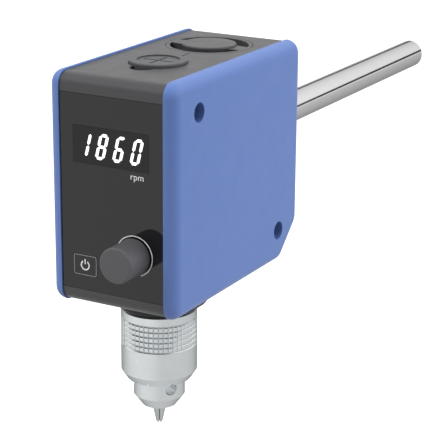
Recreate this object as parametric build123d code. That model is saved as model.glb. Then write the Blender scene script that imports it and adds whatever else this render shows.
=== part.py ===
# Compact overhead laboratory stirrer with a keyed drill chuck.
# Millimetres. The support rod's axis is the Y axis and leaves the housing's rear face at the origin.
# The front panel faces -Y, the chuck hangs towards -Z, and X = 0 is the plane of symmetry.
from build123d import *
import math
import os

# Housing seen from the side
HOUSING_DEPTH = 122.2
NOMINAL_DEPTH = 122.2
DEPTH_RATIO = HOUSING_DEPTH / NOMINAL_DEPTH
HOUSING_TOP = 49.3
HOUSING_BOTTOM = -59.0
TOP_FRONT_RADIUS = 6.5
TOP_REAR_RADIUS = 7.2
BOTTOM_FRONT_RADIUS = 7.0
REAR_CUT_DEPTH = 17.5
REAR_CUT_HEIGHT = 16.5
REAR_CUT_RADIUS = 8.0

# Housing across its width
SHELL_HALF_WIDTH = 26.9
COVER_THICKNESS = 5.9
COVER_EDGE_RADIUS = 5.6
COVER_WALL = 2.9
COVER_RIM_WALL = 3.2
SHELL_STEP = 0.7
SHELL_WALL = 2.6
LIP_CLEARANCE = 0.15
LIP_WALL = 1.3
LIP_REACH = 2.0

# Fits used all over the machine
PIECE_GAP = 0.3
RUNNING_CLEARANCE = 0.05
HALF_TURN = 180

# Support rod
ROD_RADIUS = 8.0
ROD_LENGTH = 219.5
ROD_CHAMFER = 1.5
ROD_SPIGOT_RADIUS = 5.0
ROD_NUT_THICKNESS = 6.0
ROD_NUT_ACROSS_FLATS = 16.0
ROD_WASHER_RADIUS = 10.0
ROD_WASHER_THICKNESS = 1.6
ROD_SPIGOT_SPARE = 1.5

# Cover screws, placed in Y and Z
COVER_SCREW_PLACES = [(-100.9 * DEPTH_RATIO, 33.4), (-22.3 * DEPTH_RATIO, -42.3)]
COVER_SCREW_RADIUS = 2.0
COVER_SCREW_HEAD_RADIUS = 3.5
COVER_SCREW_HEAD_HEIGHT = 2.0
COVER_SCREW_LENGTH = 13.0
COVER_SCREW_SOCKET_FLATS = 3.0
COVER_SCREW_SOCKET_DEPTH = 1.4
COVER_RECESS_RADIUS = 4.5
COVER_RECESS_DEPTH = 6.8
COVER_POST_RADIUS = 6.5
COVER_POST_REACH = 2.5

# Front panel
FOIL_THICKNESS = 0.5
FOIL_TOP = 40.2
FOIL_BOTTOM = -50.7
FOIL_EDGE_GAP = 0.2
WINDOW_CENTRE = (-0.2, 17.45)
WINDOW_SIZE = (39.2, 17.0)
WINDOW_THICKNESS = 2.0
WINDOW_GAP = 0.1
DISPLAY_DEPTH = 6.4
DISPLAY_MARGIN = 0.6

# Control knob and its encoder
KNOB_CENTRE = (11.7, -30.3)
KNOB_RADIUS = 8.25
KNOB_PROTRUSION = 16.0
KNOB_EDGE_RADIUS = 0.9
KNOB_WALL = 1.8
KNOB_FOOT_GAP = 0.5
KNOB_CAVITY_DEPTH = 4.0
ENCODER_SHAFT_RADIUS = 3.0
ENCODER_SHAFT_REACH = 11.0
ENCODER_BUSH_RADIUS = 3.5
ENCODER_BUSH_REACH = 2.6
ENCODER_BODY_SIZE = (13.4, 12.4)
ENCODER_NUT_FLATS = 10.0
ENCODER_NUT_THICKNESS = 2.0
ENCODER_SHAFT_FLAT = 1.5

# Power key and its switch
KEY_CENTRE = (-14.5, -39.1)
KEY_SIZE = (12.3, 9.8)
KEY_GAP = 0.15
KEY_FLANGE_MARGIN = 1.2
KEY_FLANGE_THICKNESS = 0.8
KEY_TRAVEL = 0.4
KEY_CORNER_RADIUS = 0.8
SWITCH_SIZE = (6.2, 6.2)
SWITCH_HEIGHT = 3.4
PLUNGER_RADIUS = 1.7

# Control board
BOARD_DISTANCE = 6.4
BOARD_THICKNESS = 1.6
BOARD_HALF_WIDTH = 23.6
BOARD_TOP = 36.0
BOARD_BOTTOM = -52.4
BOARD_SCREW_X = 21.0
BOARD_SCREW_TOP_Z = 33.0
BOARD_SCREW_BOTTOM_Z = -49.3
BOARD_SCREW_RADIUS = 1.25
BOARD_SCREW_HEAD_RADIUS = 2.4
BOARD_SCREW_HEAD_HEIGHT = 1.6
BOARD_SCREW_LENGTH = 7.0
BOARD_POST_RADIUS = 2.8

# Spindle and its two ball bearings
SPINDLE_Y = -81.1 * DEPTH_RATIO
SPINDLE_RADIUS = 6.0
SPINDLE_BORE_RADIUS = 4.15
SPINDLE_TOP = 42.0
SPINDLE_COLLAR_RADIUS = 7.6
BEARING_OUTER_RADIUS = 14.0
BEARING_WIDTH = 8.0
BEARING_INNER_LAND = 8.3
BEARING_OUTER_LAND = 11.9
BALL_RADIUS = 2.38
BALL_COUNT = 8
BALL_CLEARANCE = 0.04
RETAINING_RING_THICKNESS = 1.0
RETAINING_RING_RADIUS = 7.6
RETAINING_GROOVE_DEPTH = 0.5
RETAINING_RING_OPENING = 50.0

# Drive frame
FRAME_PLATE = 6.0
FRAME_HALF_WIDTH = 19.0
FRAME_FRONT = -104.0 * DEPTH_RATIO
FRAME_TOP = 32.0
FRAME_SHELF_TOP = -20.0
FRAME_SHELF_THICKNESS = 5.0
FRAME_SHELF_REACH = 20.0
BEARING_TUBE_WALL = 2.6
BEARING_SHOULDER = 3.0
UPPER_BEARING_TOP = 39.0
FRAME_POST_RADIUS = 4.5
FRAME_ROD_BOSS_RADIUS = 10.0
FRAME_SCREW_X = 14.0
FRAME_SCREW_YS = (-100.2 * DEPTH_RATIO, -46.0 * DEPTH_RATIO)
FRAME_SCREW_RADIUS = 2.0
FRAME_SCREW_HEAD_RADIUS = 4.0
FRAME_SCREW_LENGTH = 8.0

# Hub under the housing
HUB_RADIUS = 19.6
HUB_REAR_SHIFT = 7.1
HUB_BOTTOM = -67.6
HUB_FLOOR = 1.2
HUB_OPENING_RADIUS = 9.6
HUB_EDGE_RADIUS = 0.8

# Keyed chuck
SLEEVE_RADIUS = 18.2
SLEEVE_TOP = -68.4
SLEEVE_BEVEL_TOP = -99.7
SLEEVE_BOTTOM = -103.9
SLEEVE_BOTTOM_RADIUS = 15.5
SLEEVE_BORE_RADIUS = 15.6
SLEEVE_TOP_CHAMFER = 0.7
SLEEVE_TEETH = 17
TOOTH_GAP_WIDTH = 3.6
TOOTH_GAP_HEIGHT = 3.6
TOOTH_GAP_LEAN = 28.0
TOOTH_AZIMUTH = -57.6
KNURL_TOP = -73.2
KNURL_ROWS = 5
KNURL_PITCH = 2.56
KNURL_COLUMNS = 48
KNURL_DEPTH = 0.45
KNURL_GROOVE_WIDTH = 1.15
NOSE_RADIUS = 12.35
NOSE_SHOULDER = -112.7
NOSE_END_Z = -118.2
NOSE_BOTTOM_RADIUS = 8.3
CHUCK_TOP_RECESS = 0.5
CHUCK_SOCKET_DEPTH = 13.0
NUT_TOP = -88.5
NUT_HEIGHT = 6.9
NUT_AXIAL_CLEARANCE = 0.1
NUT_JAW_CLEARANCE = 0.12
NUT_GROOVE_CLEARANCE = 0.35
JAW_ANGLE = 13.5
JAW_RADIUS = 2.75
JAW_TIP = -128.3
JAW_TIP_OUTER_RADIUS = 1.35
JAW_HALF_GAP = 0.2
JAW_REAR_Z = -88.7
JAW_TRAVEL = 16.1
JAW_TEETH = 6
JAW_TOOTH_PITCH = 1.3
JAW_TOOTH_DEPTH = 0.45
JAW_AZIMUTH = 1.1
KEY_HOLE_AZIMUTH = -31.6
KEY_HOLE_Z = -107.1
KEY_HOLE_RADIUS = 3.1
KEY_HOLE_FLOOR = 8.4

# Belt drive and motor
MOTOR_Y = -46.0 * DEPTH_RATIO
MOTOR_RADIUS = 18.0
MOTOR_TOP = 17.0
MOTOR_CAN_WALL = 1.4
MOTOR_PLATE_THICKNESS = 3.0
MOTOR_SHAFT_RADIUS = 2.5
MOTOR_BOSS_RADIUS = 5.5
STATOR_BORE_RADIUS = 10.0
STATOR_HEIGHT = 22.0
STATOR_SLOTS = 9
STATOR_SLOT_RADIUS = 1.5
ROTOR_AIR_GAP = 0.4
MOTOR_SCREW_CIRCLE = 12.5
MOTOR_SCREW_RADIUS = 1.5
MOTOR_SCREW_HEAD_RADIUS = 2.75
MOTOR_SCREW_HEAD_HEIGHT = 2.0
MOTOR_PULLEY_RADIUS = 8.0
SPINDLE_PULLEY_RADIUS = 16.0
BELT_TOP = -31.5
BELT_WIDTH = 7.0
BELT_THICKNESS = 1.5
PULLEY_FLANGE_HEIGHT = 2.3
PULLEY_FLANGE_THICKNESS = 1.4
PULLEY_HUB_RADIUS = 9.0
PULLEY_HUB_HEIGHT = 5.0

# Power inlet on the rear face
INLET_Z = -27.0
INLET_RADIUS = 5.5
INLET_DEPTH = 13.0
INLET_FLANGE_RADIUS = 6.8
INLET_FLANGE_THICKNESS = 0.6
INLET_SOCKET_RADIUS = 3.2
INLET_SOCKET_DEPTH = 9.5
INLET_PIN_RADIUS = 1.05
INLET_NUT_THICKNESS = 2.2
INLET_NUT_FLATS = 13.0
INLET_FRAME_HOLE_RADIUS = 8.2

# Cap over the hollow spindle, with its strap
CAP_RADIUS = 13.4
CAP_RISE = 1.5
CAP_EDGE_RADIUS = 0.8
CAP_DISH_RADIUS = 9.9
CAP_DISH_DEPTH = 0.6
CAP_CROSS_WIDTH = 1.0
CAP_CROSS_LENGTH = 15.0
CAP_CROSS_DEPTH = 0.4
CAP_LEDGE_WIDTH = 1.3
CAP_RECESS_DEPTH = 1.8
CAP_SKIRT_WALL = 1.6
CAP_SKIRT_REACH = 2.3
CAP_STRAP_HALF_WIDTH = 2.0
CAP_STRAP_THICKNESS = 1.2
CAP_STRAP_RISE = 0.15
CAP_HINGE_SHARE = 0.7615
CAP_NOTCH_RADIUS = 5.7
CAP_NOTCH_OFFSET = 13.6

# Quarter-turn cover over the motor
TURN_COVER_Y = -34.0 * DEPTH_RATIO
TURN_COVER_RIM = 3.7
TURN_COVER_FLANGE = 1.4
TURN_COVER_BODY_RIM = 4.6
TURN_COVER_WALL = 0.9
TURN_COVER_FLOOR_DEPTH = 2.6
TURN_COVER_FLOOR = 1.6
TURN_DISC_RADIUS = 13.0
TURN_DISC_RISE = 1.0
TURN_WING_HALF_WIDTH = 3.6
TURN_WING_FOOT_HALF_WIDTH = 7.0
TURN_LUG_REACH = 2.3
TURN_LUG_HEIGHT = 1.5
TURN_LUG_ANGLE = 30.0
TURN_NOTCH_EXTRA_ANGLE = 6.0
TURN_RANGE = 60.0
TURN_LEDGE_DEPTH = 4.2
TURN_LEDGE_MARGIN = 2.5

# Worked-out levels and places
SHELL_FRONT = -HOUSING_DEPTH + SHELL_STEP
SHELL_FRONT_INSIDE = SHELL_FRONT + SHELL_WALL
SHELL_REAR = -SHELL_STEP
SHELL_REAR_INSIDE = SHELL_REAR - SHELL_WALL
SHELL_TOP = HOUSING_TOP - SHELL_STEP
SHELL_TOP_INSIDE = SHELL_TOP - SHELL_WALL
SHELL_BOTTOM = HOUSING_BOTTOM + SHELL_STEP
SHELL_BOTTOM_INSIDE = SHELL_BOTTOM + SHELL_WALL
FRAME_INSET = SHELL_STEP + SHELL_WALL + PIECE_GAP
FRAME_BASE_BOTTOM = HOUSING_BOTTOM + FRAME_INSET
FRAME_BASE_TOP = FRAME_BASE_BOTTOM + FRAME_PLATE
FRAME_REAR = -FRAME_INSET
FRAME_REAR_INSIDE = FRAME_REAR - FRAME_PLATE
FRAME_POST_END = SHELL_HALF_WIDTH - COVER_POST_REACH - PIECE_GAP
FOIL_FACE = SHELL_FRONT
FOIL_BACK = FOIL_FACE + FOIL_THICKNESS
BOARD_FRONT = SHELL_FRONT_INSIDE + BOARD_DISTANCE
BOARD_REAR = BOARD_FRONT + BOARD_THICKNESS
LOWER_BEARING_BOTTOM = HUB_BOTTOM + HUB_FLOOR + 0.2
LOWER_BEARING_TOP = LOWER_BEARING_BOTTOM + BEARING_WIDTH
UPPER_BEARING_BOTTOM = UPPER_BEARING_TOP - BEARING_WIDTH
BEARING_TUBE_RADIUS = BEARING_OUTER_RADIUS + BEARING_TUBE_WALL
BALL_CIRCLE_RADIUS = (SPINDLE_RADIUS + BEARING_OUTER_RADIUS) / 2
CHUCK_TOP = SLEEVE_TOP - CHUCK_TOP_RECESS
CHUCK_SOCKET_BOTTOM = CHUCK_TOP - CHUCK_SOCKET_DEPTH
NUT_BOTTOM = NUT_TOP - NUT_HEIGHT
CHUCK_REAR_RADIUS = SLEEVE_BORE_RADIUS - RUNNING_CLEARANCE
BELT_BOTTOM = BELT_TOP - BELT_WIDTH
MOTOR_FACE = FRAME_SHELF_TOP
SHELF_BOTTOM = FRAME_SHELF_TOP - FRAME_SHELF_THICKNESS
CAP_TOP = SHELL_TOP + CAP_RISE
CAP_SEAT = SHELL_TOP - CAP_RECESS_DEPTH
CAP_HOLE_RADIUS = CAP_RADIUS - CAP_LEDGE_WIDTH + PIECE_GAP
CAP_STRAP_TOP = SHELL_TOP + CAP_STRAP_RISE
CAP_HINGE_Z = CAP_STRAP_TOP - CAP_STRAP_THICKNESS / 2
TURN_LEDGE_RADIUS = SHELL_HALF_WIDTH - TURN_LEDGE_MARGIN
TURN_COVER_RADIUS = TURN_LEDGE_RADIUS - TURN_COVER_RIM
TURN_COVER_BODY_RADIUS = TURN_LEDGE_RADIUS - TURN_COVER_BODY_RIM
CAP_REAR_EDGE = SPINDLE_Y + CAP_RADIUS
CAP_HINGE_Y = CAP_REAR_EDGE + CAP_HINGE_SHARE * (TURN_COVER_Y - TURN_COVER_RADIUS - CAP_REAR_EDGE)
FRAME_SHELF_FRONT = MOTOR_Y - FRAME_SHELF_REACH
HUB_REAR_Y = SPINDLE_Y + HUB_REAR_SHIFT
TURN_SEAT = SHELL_TOP - TURN_COVER_FLANGE
TURN_HOLE_RADIUS = TURN_COVER_BODY_RADIUS + PIECE_GAP
TURN_LEDGE_BOTTOM = SHELL_TOP - TURN_LEDGE_DEPTH


def round_z(radius, low, high, x=0.0, y=0.0):
    """A cylinder along Z between two heights."""
    return Pos(x, y, (low + high) / 2) * Cylinder(radius, high - low)


def round_y(radius, front, rear, x=0.0, z=0.0):
    """A cylinder along Y between two depths."""
    return Pos(x, (front + rear) / 2, z) * Rot(90, 0, 0) * Cylinder(radius, rear - front)


def round_x(radius, left, right, y=0.0, z=0.0):
    """A cylinder along X between two sides."""
    return Pos((left + right) / 2, y, z) * Rot(0, 90, 0) * Cylinder(radius, right - left)


def block(left, right, front, rear, low, high):
    """A box given by its six faces."""
    size = (right - left, rear - front, high - low)
    return Pos((left + right) / 2, (front + rear) / 2, (low + high) / 2) * Box(*size)


def panel_block(centre, size, front, rear):
    """A box on the front panel, given by its centre and size in X and Z."""
    half_x = size[0] / 2
    half_z = size[1] / 2
    return block(centre[0] - half_x, centre[0] + half_x, front, rear, centre[1] - half_z, centre[1] + half_z)


def hexagon_y(across_flats, front, rear, x=0.0, z=0.0):
    """A hexagonal prism along Y."""
    outline = RegularPolygon(across_flats / 2, 6, major_radius=False)
    prism = extrude(outline, amount=rear - front)
    return Pos(x, front, z) * Rot(-90, 0, 0) * prism


def turned(points):
    """A solid of revolution about the spindle's axis from (radius, height) points."""
    outline = make_face(Plane.XZ * Polyline(*points, close=True))
    return Pos(0, SPINDLE_Y, 0) * revolve(outline, Axis.Z, 360)


def ring_z(inner, outer, low, high, y=SPINDLE_Y):
    """A plain ring along Z."""
    return round_z(outer, low, high, y=y) - round_z(inner, low - 1, high + 1, y=y)


def side_outline(inset=0.0):
    """The housing's side outline in Y and Z, moved inwards by an inset."""
    bottom_corner_y = -REAR_CUT_DEPTH
    rear_corner_z = HOUSING_BOTTOM + REAR_CUT_HEIGHT
    corners = [
        (-HOUSING_DEPTH, HOUSING_BOTTOM, BOTTOM_FRONT_RADIUS),
        (bottom_corner_y, HOUSING_BOTTOM, REAR_CUT_RADIUS),
        (0.0, rear_corner_z, REAR_CUT_RADIUS),
        (0.0, HOUSING_TOP, TOP_REAR_RADIUS),
        (-HOUSING_DEPTH, HOUSING_TOP, TOP_FRONT_RADIUS),
    ]
    outline = make_face(Polyline(*[(y, z) for y, z, _ in corners], close=True))
    for y, z, radius in corners:
        vertex = outline.vertices().sort_by_distance((y, z, 0))[0]
        outline = fillet(vertex, radius)
    if inset:
        outline = offset(outline, amount=-inset)
    return outline


def side_slab(inset, left, right):
    """The side outline extruded across X."""
    return extrude(Plane.YZ.offset(left) * side_outline(inset), amount=right - left, dir=(1, 0, 0))


def make_center_shell():
    """The dark moulded ring that forms the top, front, bottom and rear of the housing."""
    shell = side_slab(SHELL_STEP, -SHELL_HALF_WIDTH, SHELL_HALF_WIDTH)
    shell -= side_slab(SHELL_STEP + SHELL_WALL, -SHELL_HALF_WIDTH - 1, SHELL_HALF_WIDTH + 1)
    shell += round_z(TURN_LEDGE_RADIUS, TURN_LEDGE_BOTTOM, SHELL_TOP_INSIDE, y=TURN_COVER_Y)
    for x in (-BOARD_SCREW_X, BOARD_SCREW_X):
        for z in (BOARD_SCREW_BOTTOM_Z, BOARD_SCREW_TOP_Z):
            shell += round_y(BOARD_POST_RADIUS, SHELL_FRONT_INSIDE, BOARD_FRONT, x, z)
            shell -= round_y(BOARD_SCREW_RADIUS, SHELL_FRONT_INSIDE, BOARD_FRONT, x, z)

    foil_recess = block(-SHELL_HALF_WIDTH, SHELL_HALF_WIDTH, FOIL_FACE - 1, FOIL_BACK,
                        FOIL_BOTTOM - FOIL_EDGE_GAP, FOIL_TOP + FOIL_EDGE_GAP)
    window_hole = panel_block(WINDOW_CENTRE, [side + 2 * WINDOW_GAP for side in WINDOW_SIZE],
                              SHELL_FRONT - 1, SHELL_FRONT_INSIDE + 1)
    key_hole = panel_block(KEY_CENTRE, [side + 2 * KEY_GAP for side in KEY_SIZE],
                           SHELL_FRONT - 1, SHELL_FRONT_INSIDE + 1)
    bush_hole = round_y(ENCODER_BUSH_RADIUS, SHELL_FRONT - 1, SHELL_FRONT_INSIDE + 1, *KNOB_CENTRE)
    shell = shell - foil_recess - window_hole - key_hole - bush_hole

    shell -= round_z(BEARING_TUBE_RADIUS + PIECE_GAP, SHELL_BOTTOM - 1, SHELL_BOTTOM_INSIDE + 1, y=SPINDLE_Y)
    shell -= round_y(FRAME_ROD_BOSS_RADIUS + PIECE_GAP, SHELL_REAR_INSIDE - 1, 0)
    shell -= round_y(INLET_RADIUS, SHELL_REAR_INSIDE - 1, 0, z=INLET_Z)
    for x, y in frame_screw_places():
        shell -= frame_screw_cutter(x, y)

    shell -= round_z(CAP_RADIUS + PIECE_GAP, CAP_SEAT, SHELL_TOP + 1, y=SPINDLE_Y)
    shell -= round_z(CAP_HOLE_RADIUS, SHELL_TOP_INSIDE - 1, SHELL_TOP, y=SPINDLE_Y)
    shell -= round_z(CAP_NOTCH_RADIUS, CAP_SEAT, SHELL_TOP + 1, y=SPINDLE_Y - CAP_NOTCH_OFFSET)
    strap_side = CAP_STRAP_HALF_WIDTH + PIECE_GAP
    strap_floor = CAP_STRAP_TOP - CAP_STRAP_THICKNESS - PIECE_GAP
    strap_rear = CAP_HINGE_Y + CAP_STRAP_THICKNESS / 2 + PIECE_GAP
    shell -= block(-strap_side, strap_side, SPINDLE_Y, strap_rear, strap_floor, SHELL_TOP + 1)

    shell -= round_z(TURN_COVER_RADIUS + PIECE_GAP, TURN_SEAT, SHELL_TOP + 1, y=TURN_COVER_Y)
    shell -= round_z(TURN_HOLE_RADIUS, TURN_LEDGE_BOTTOM - 1, SHELL_TOP, y=TURN_COVER_Y)
    notch_angle = TURN_LUG_ANGLE + TURN_NOTCH_EXTRA_ANGLE
    for azimuth in (TURN_RANGE, TURN_RANGE - HALF_TURN):
        shell -= turn_cover_sector(TURN_COVER_BODY_RADIUS + TURN_LUG_REACH + PIECE_GAP, notch_angle, azimuth,
                                   TURN_LEDGE_BOTTOM - 1, TURN_SEAT)
    return shell


def turn_cover_sector(radius, angle, azimuth, low, high):
    """A sector of a disc about the turn cover's axis."""
    half = math.radians(angle / 2)
    reach = radius * 1.5
    wedge = make_face(Polyline((0, 0), (reach, -reach * math.tan(half)), (reach, reach * math.tan(half)), close=True))
    sector = extrude(Circle(radius) & wedge, amount=high - low)
    return Pos(0, TURN_COVER_Y, low) * Rot(0, 0, azimuth) * sector


def make_side_cover(side):
    """A blue side cover; side is 1 for the right one and -1 for the left one."""
    inner = SHELL_HALF_WIDTH
    outer = inner + COVER_THICKNESS
    cover = side_slab(0.0, inner, outer)
    outer_edges = cover.faces().sort_by(Axis.X)[-1].edges()
    cover = fillet(outer_edges, COVER_EDGE_RADIUS)
    cover -= side_slab(COVER_RIM_WALL + COVER_WALL, inner - 1, outer - COVER_WALL)

    lip_outer = SHELL_STEP + SHELL_WALL + LIP_CLEARANCE
    lip = side_slab(lip_outer, inner - LIP_REACH, inner + PIECE_GAP)
    lip -= side_slab(lip_outer + LIP_WALL, inner - LIP_REACH - 1, inner + 1)
    cover += lip - block(inner - LIP_REACH - 1, inner - 0.01, SHELL_FRONT, BOARD_REAR + 1,
                         BOARD_BOTTOM - 2, BOARD_TOP + 2)
    for y, z in COVER_SCREW_PLACES:
        cover += round_x(COVER_POST_RADIUS, inner - COVER_POST_REACH, outer - COVER_WALL, y, z)
        cover -= round_x(COVER_RECESS_RADIUS, outer - COVER_RECESS_DEPTH, outer + 1, y, z)
        cover -= round_x(COVER_SCREW_RADIUS + 0.2, inner - COVER_POST_REACH - 1, outer, y, z)
    return cover if side > 0 else mirror(cover, about=Plane.YZ)


def make_cover_screws():
    """Four socket-head screws, two through each side cover."""
    seat = SHELL_HALF_WIDTH + COVER_THICKNESS - COVER_RECESS_DEPTH
    head_top = seat + COVER_SCREW_HEAD_HEIGHT
    screws = []
    for y, z in COVER_SCREW_PLACES:
        screw = round_x(COVER_SCREW_RADIUS, seat - COVER_SCREW_LENGTH, seat, y, z)
        screw += round_x(COVER_SCREW_HEAD_RADIUS, seat, head_top, y, z)
        socket = extrude(RegularPolygon(COVER_SCREW_SOCKET_FLATS / 2, 6, major_radius=False), amount=2)
        screw -= Pos(head_top - COVER_SCREW_SOCKET_DEPTH, y, z) * Rot(0, 90, 0) * socket
        screws.append(screw)
        screws.append(mirror(screw, about=Plane.YZ))
    return Compound(children=screws)


def make_front_foil():
    """The thin dark foil glued into the front face."""
    half = SHELL_HALF_WIDTH - FOIL_EDGE_GAP
    foil = block(-half, half, FOIL_FACE, FOIL_BACK, FOIL_BOTTOM, FOIL_TOP)
    foil -= panel_block(WINDOW_CENTRE, [side + 2 * WINDOW_GAP for side in WINDOW_SIZE], FOIL_FACE - 1, FOIL_BACK + 1)
    foil -= panel_block(KEY_CENTRE, [side + 2 * KEY_GAP for side in KEY_SIZE], FOIL_FACE - 1, FOIL_BACK + 1)
    nut_clearance = ENCODER_NUT_FLATS / math.sqrt(3) + PIECE_GAP
    foil -= round_y(nut_clearance, FOIL_FACE - 1, FOIL_BACK + 1, *KNOB_CENTRE)
    return foil


def make_display_window():
    """The tinted window in front of the digits."""
    return panel_block(WINDOW_CENTRE, WINDOW_SIZE, FOIL_FACE, FOIL_FACE + WINDOW_THICKNESS)


def make_display_module():
    """The four-digit display block on the control board."""
    size = [side - 2 * DISPLAY_MARGIN for side in WINDOW_SIZE]
    return panel_block(WINDOW_CENTRE, size, BOARD_FRONT - DISPLAY_DEPTH, BOARD_FRONT)


def board_screw_places():
    """The control board's four screw places in X and Z."""
    return [(x, z) for x in (-BOARD_SCREW_X, BOARD_SCREW_X) for z in (BOARD_SCREW_BOTTOM_Z, BOARD_SCREW_TOP_Z)]


def make_control_board():
    """The circuit board behind the front wall."""
    board = block(-BOARD_HALF_WIDTH, BOARD_HALF_WIDTH, BOARD_FRONT, BOARD_REAR, BOARD_BOTTOM, BOARD_TOP)
    for x, z in board_screw_places():
        board -= round_y(BOARD_SCREW_RADIUS + 0.1, BOARD_FRONT - 1, BOARD_REAR + 1, x, z)
    return board


def make_board_screws():
    """Four pan-head screws that hold the control board."""
    screws = []
    for x, z in board_screw_places():
        screw = round_y(BOARD_SCREW_RADIUS, BOARD_REAR - BOARD_SCREW_LENGTH, BOARD_REAR, x, z)
        screw += round_y(BOARD_SCREW_HEAD_RADIUS, BOARD_REAR, BOARD_REAR + BOARD_SCREW_HEAD_HEIGHT, x, z)
        screws.append(screw)
    return Compound(children=screws)


def make_encoder_body():
    """The rotary encoder's case with its threaded bush."""
    bush_end = SHELL_FRONT - ENCODER_BUSH_REACH
    body = panel_block(KNOB_CENTRE, ENCODER_BODY_SIZE, SHELL_FRONT_INSIDE, BOARD_FRONT)
    body += round_y(ENCODER_BUSH_RADIUS, bush_end, SHELL_FRONT_INSIDE + 1, *KNOB_CENTRE)
    body -= round_y(ENCODER_SHAFT_RADIUS + RUNNING_CLEARANCE, bush_end - 1, BOARD_FRONT - 1, *KNOB_CENTRE)
    return body


def make_encoder_nut():
    """The flat nut that clamps the encoder to the front wall."""
    front = FOIL_BACK - ENCODER_NUT_THICKNESS
    nut = hexagon_y(ENCODER_NUT_FLATS, front, FOIL_BACK, *KNOB_CENTRE)
    nut -= round_y(ENCODER_BUSH_RADIUS, front - 1, FOIL_BACK + 1, *KNOB_CENTRE)
    return nut


def encoder_shaft_outline(front, rear):
    """The shaft's flatted round section between two depths."""
    shaft = round_y(ENCODER_SHAFT_RADIUS, front, rear, *KNOB_CENTRE)
    flat_x = KNOB_CENTRE[0] + ENCODER_SHAFT_RADIUS - ENCODER_SHAFT_FLAT
    bush_end = SHELL_FRONT - ENCODER_BUSH_REACH
    far_x = KNOB_CENTRE[0] + 2 * ENCODER_SHAFT_RADIUS
    return shaft - block(flat_x, far_x, front - 1, bush_end - 1,
                         KNOB_CENTRE[1] - ENCODER_NUT_FLATS / 2, KNOB_CENTRE[1] + ENCODER_NUT_FLATS / 2)


def make_encoder_shaft():
    """The encoder's shaft with its flat for the knob."""
    return encoder_shaft_outline(SHELL_FRONT - ENCODER_SHAFT_REACH, BOARD_FRONT - 1 - PIECE_GAP)


def make_control_knob():
    """The smooth speed knob."""
    foot = SHELL_FRONT - KNOB_FOOT_GAP
    face = SHELL_FRONT - KNOB_PROTRUSION
    knob = round_y(KNOB_RADIUS, face, foot, *KNOB_CENTRE)
    knob = fillet(knob.edges().group_by(Axis.Y)[0], KNOB_EDGE_RADIUS)
    cavity = round_y(KNOB_RADIUS - KNOB_WALL, foot - KNOB_CAVITY_DEPTH, foot + 1, *KNOB_CENTRE)
    socket = encoder_shaft_outline(SHELL_FRONT - ENCODER_SHAFT_REACH, foot)
    return knob - cavity - socket


def make_power_key():
    """The power key with its retaining flange behind the front wall."""
    key = panel_block(KEY_CENTRE, KEY_SIZE, FOIL_FACE, SHELL_FRONT_INSIDE + PIECE_GAP)
    key = fillet(key.edges().filter_by(Axis.Y), KEY_CORNER_RADIUS)
    flange_size = [side + 2 * KEY_FLANGE_MARGIN for side in KEY_SIZE]
    flange_front = SHELL_FRONT_INSIDE + PIECE_GAP
    return key + panel_block(KEY_CENTRE, flange_size, flange_front, flange_front + KEY_FLANGE_THICKNESS)


def make_switch_plunger():
    """The switch's plunger, which the key pushes."""
    front = SHELL_FRONT_INSIDE + PIECE_GAP + KEY_FLANGE_THICKNESS
    rear = BOARD_FRONT - 2 * KEY_TRAVEL - PIECE_GAP
    return round_y(PLUNGER_RADIUS, front, rear, *KEY_CENTRE)


def make_power_switch():
    """The switch's case on the control board."""
    case = panel_block(KEY_CENTRE, SWITCH_SIZE, BOARD_FRONT - SWITCH_HEIGHT, BOARD_FRONT)
    well_floor = BOARD_FRONT - KEY_TRAVEL
    return case - round_y(PLUNGER_RADIUS + RUNNING_CLEARANCE, BOARD_FRONT - SWITCH_HEIGHT - 1, well_floor, *KEY_CENTRE)


def frame_screw_places():
    """The places in X and Y of the four screws under the housing."""
    return [(x, y) for x in (-FRAME_SCREW_X, FRAME_SCREW_X) for y in FRAME_SCREW_YS]


def frame_screw_cutter(x, y):
    """The countersunk screw's space in the housing's bottom wall."""
    head = FRAME_SCREW_HEAD_RADIUS - FRAME_SCREW_RADIUS
    cone = Pos(x, y, SHELL_BOTTOM + head / 2) * Cone(FRAME_SCREW_HEAD_RADIUS, FRAME_SCREW_RADIUS, head)
    return cone + round_z(FRAME_SCREW_RADIUS, SHELL_BOTTOM, FRAME_BASE_BOTTOM + 0.01, x, y)


def make_frame_screws():
    """Four countersunk screws through the housing's bottom into the frame."""
    screws = []
    for x, y in frame_screw_places():
        head = FRAME_SCREW_HEAD_RADIUS - FRAME_SCREW_RADIUS
        cone = Pos(x, y, SHELL_BOTTOM + head / 2) * Cone(FRAME_SCREW_HEAD_RADIUS, FRAME_SCREW_RADIUS, head)
        slot = block(x - 2.4, x + 2.4, y - 0.45, y + 0.45, SHELL_BOTTOM - 1, SHELL_BOTTOM + 0.9)
        screws.append(cone + round_z(FRAME_SCREW_RADIUS, SHELL_BOTTOM, SHELL_BOTTOM + FRAME_SCREW_LENGTH, x, y) - slot)
    return Compound(children=screws)


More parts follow.
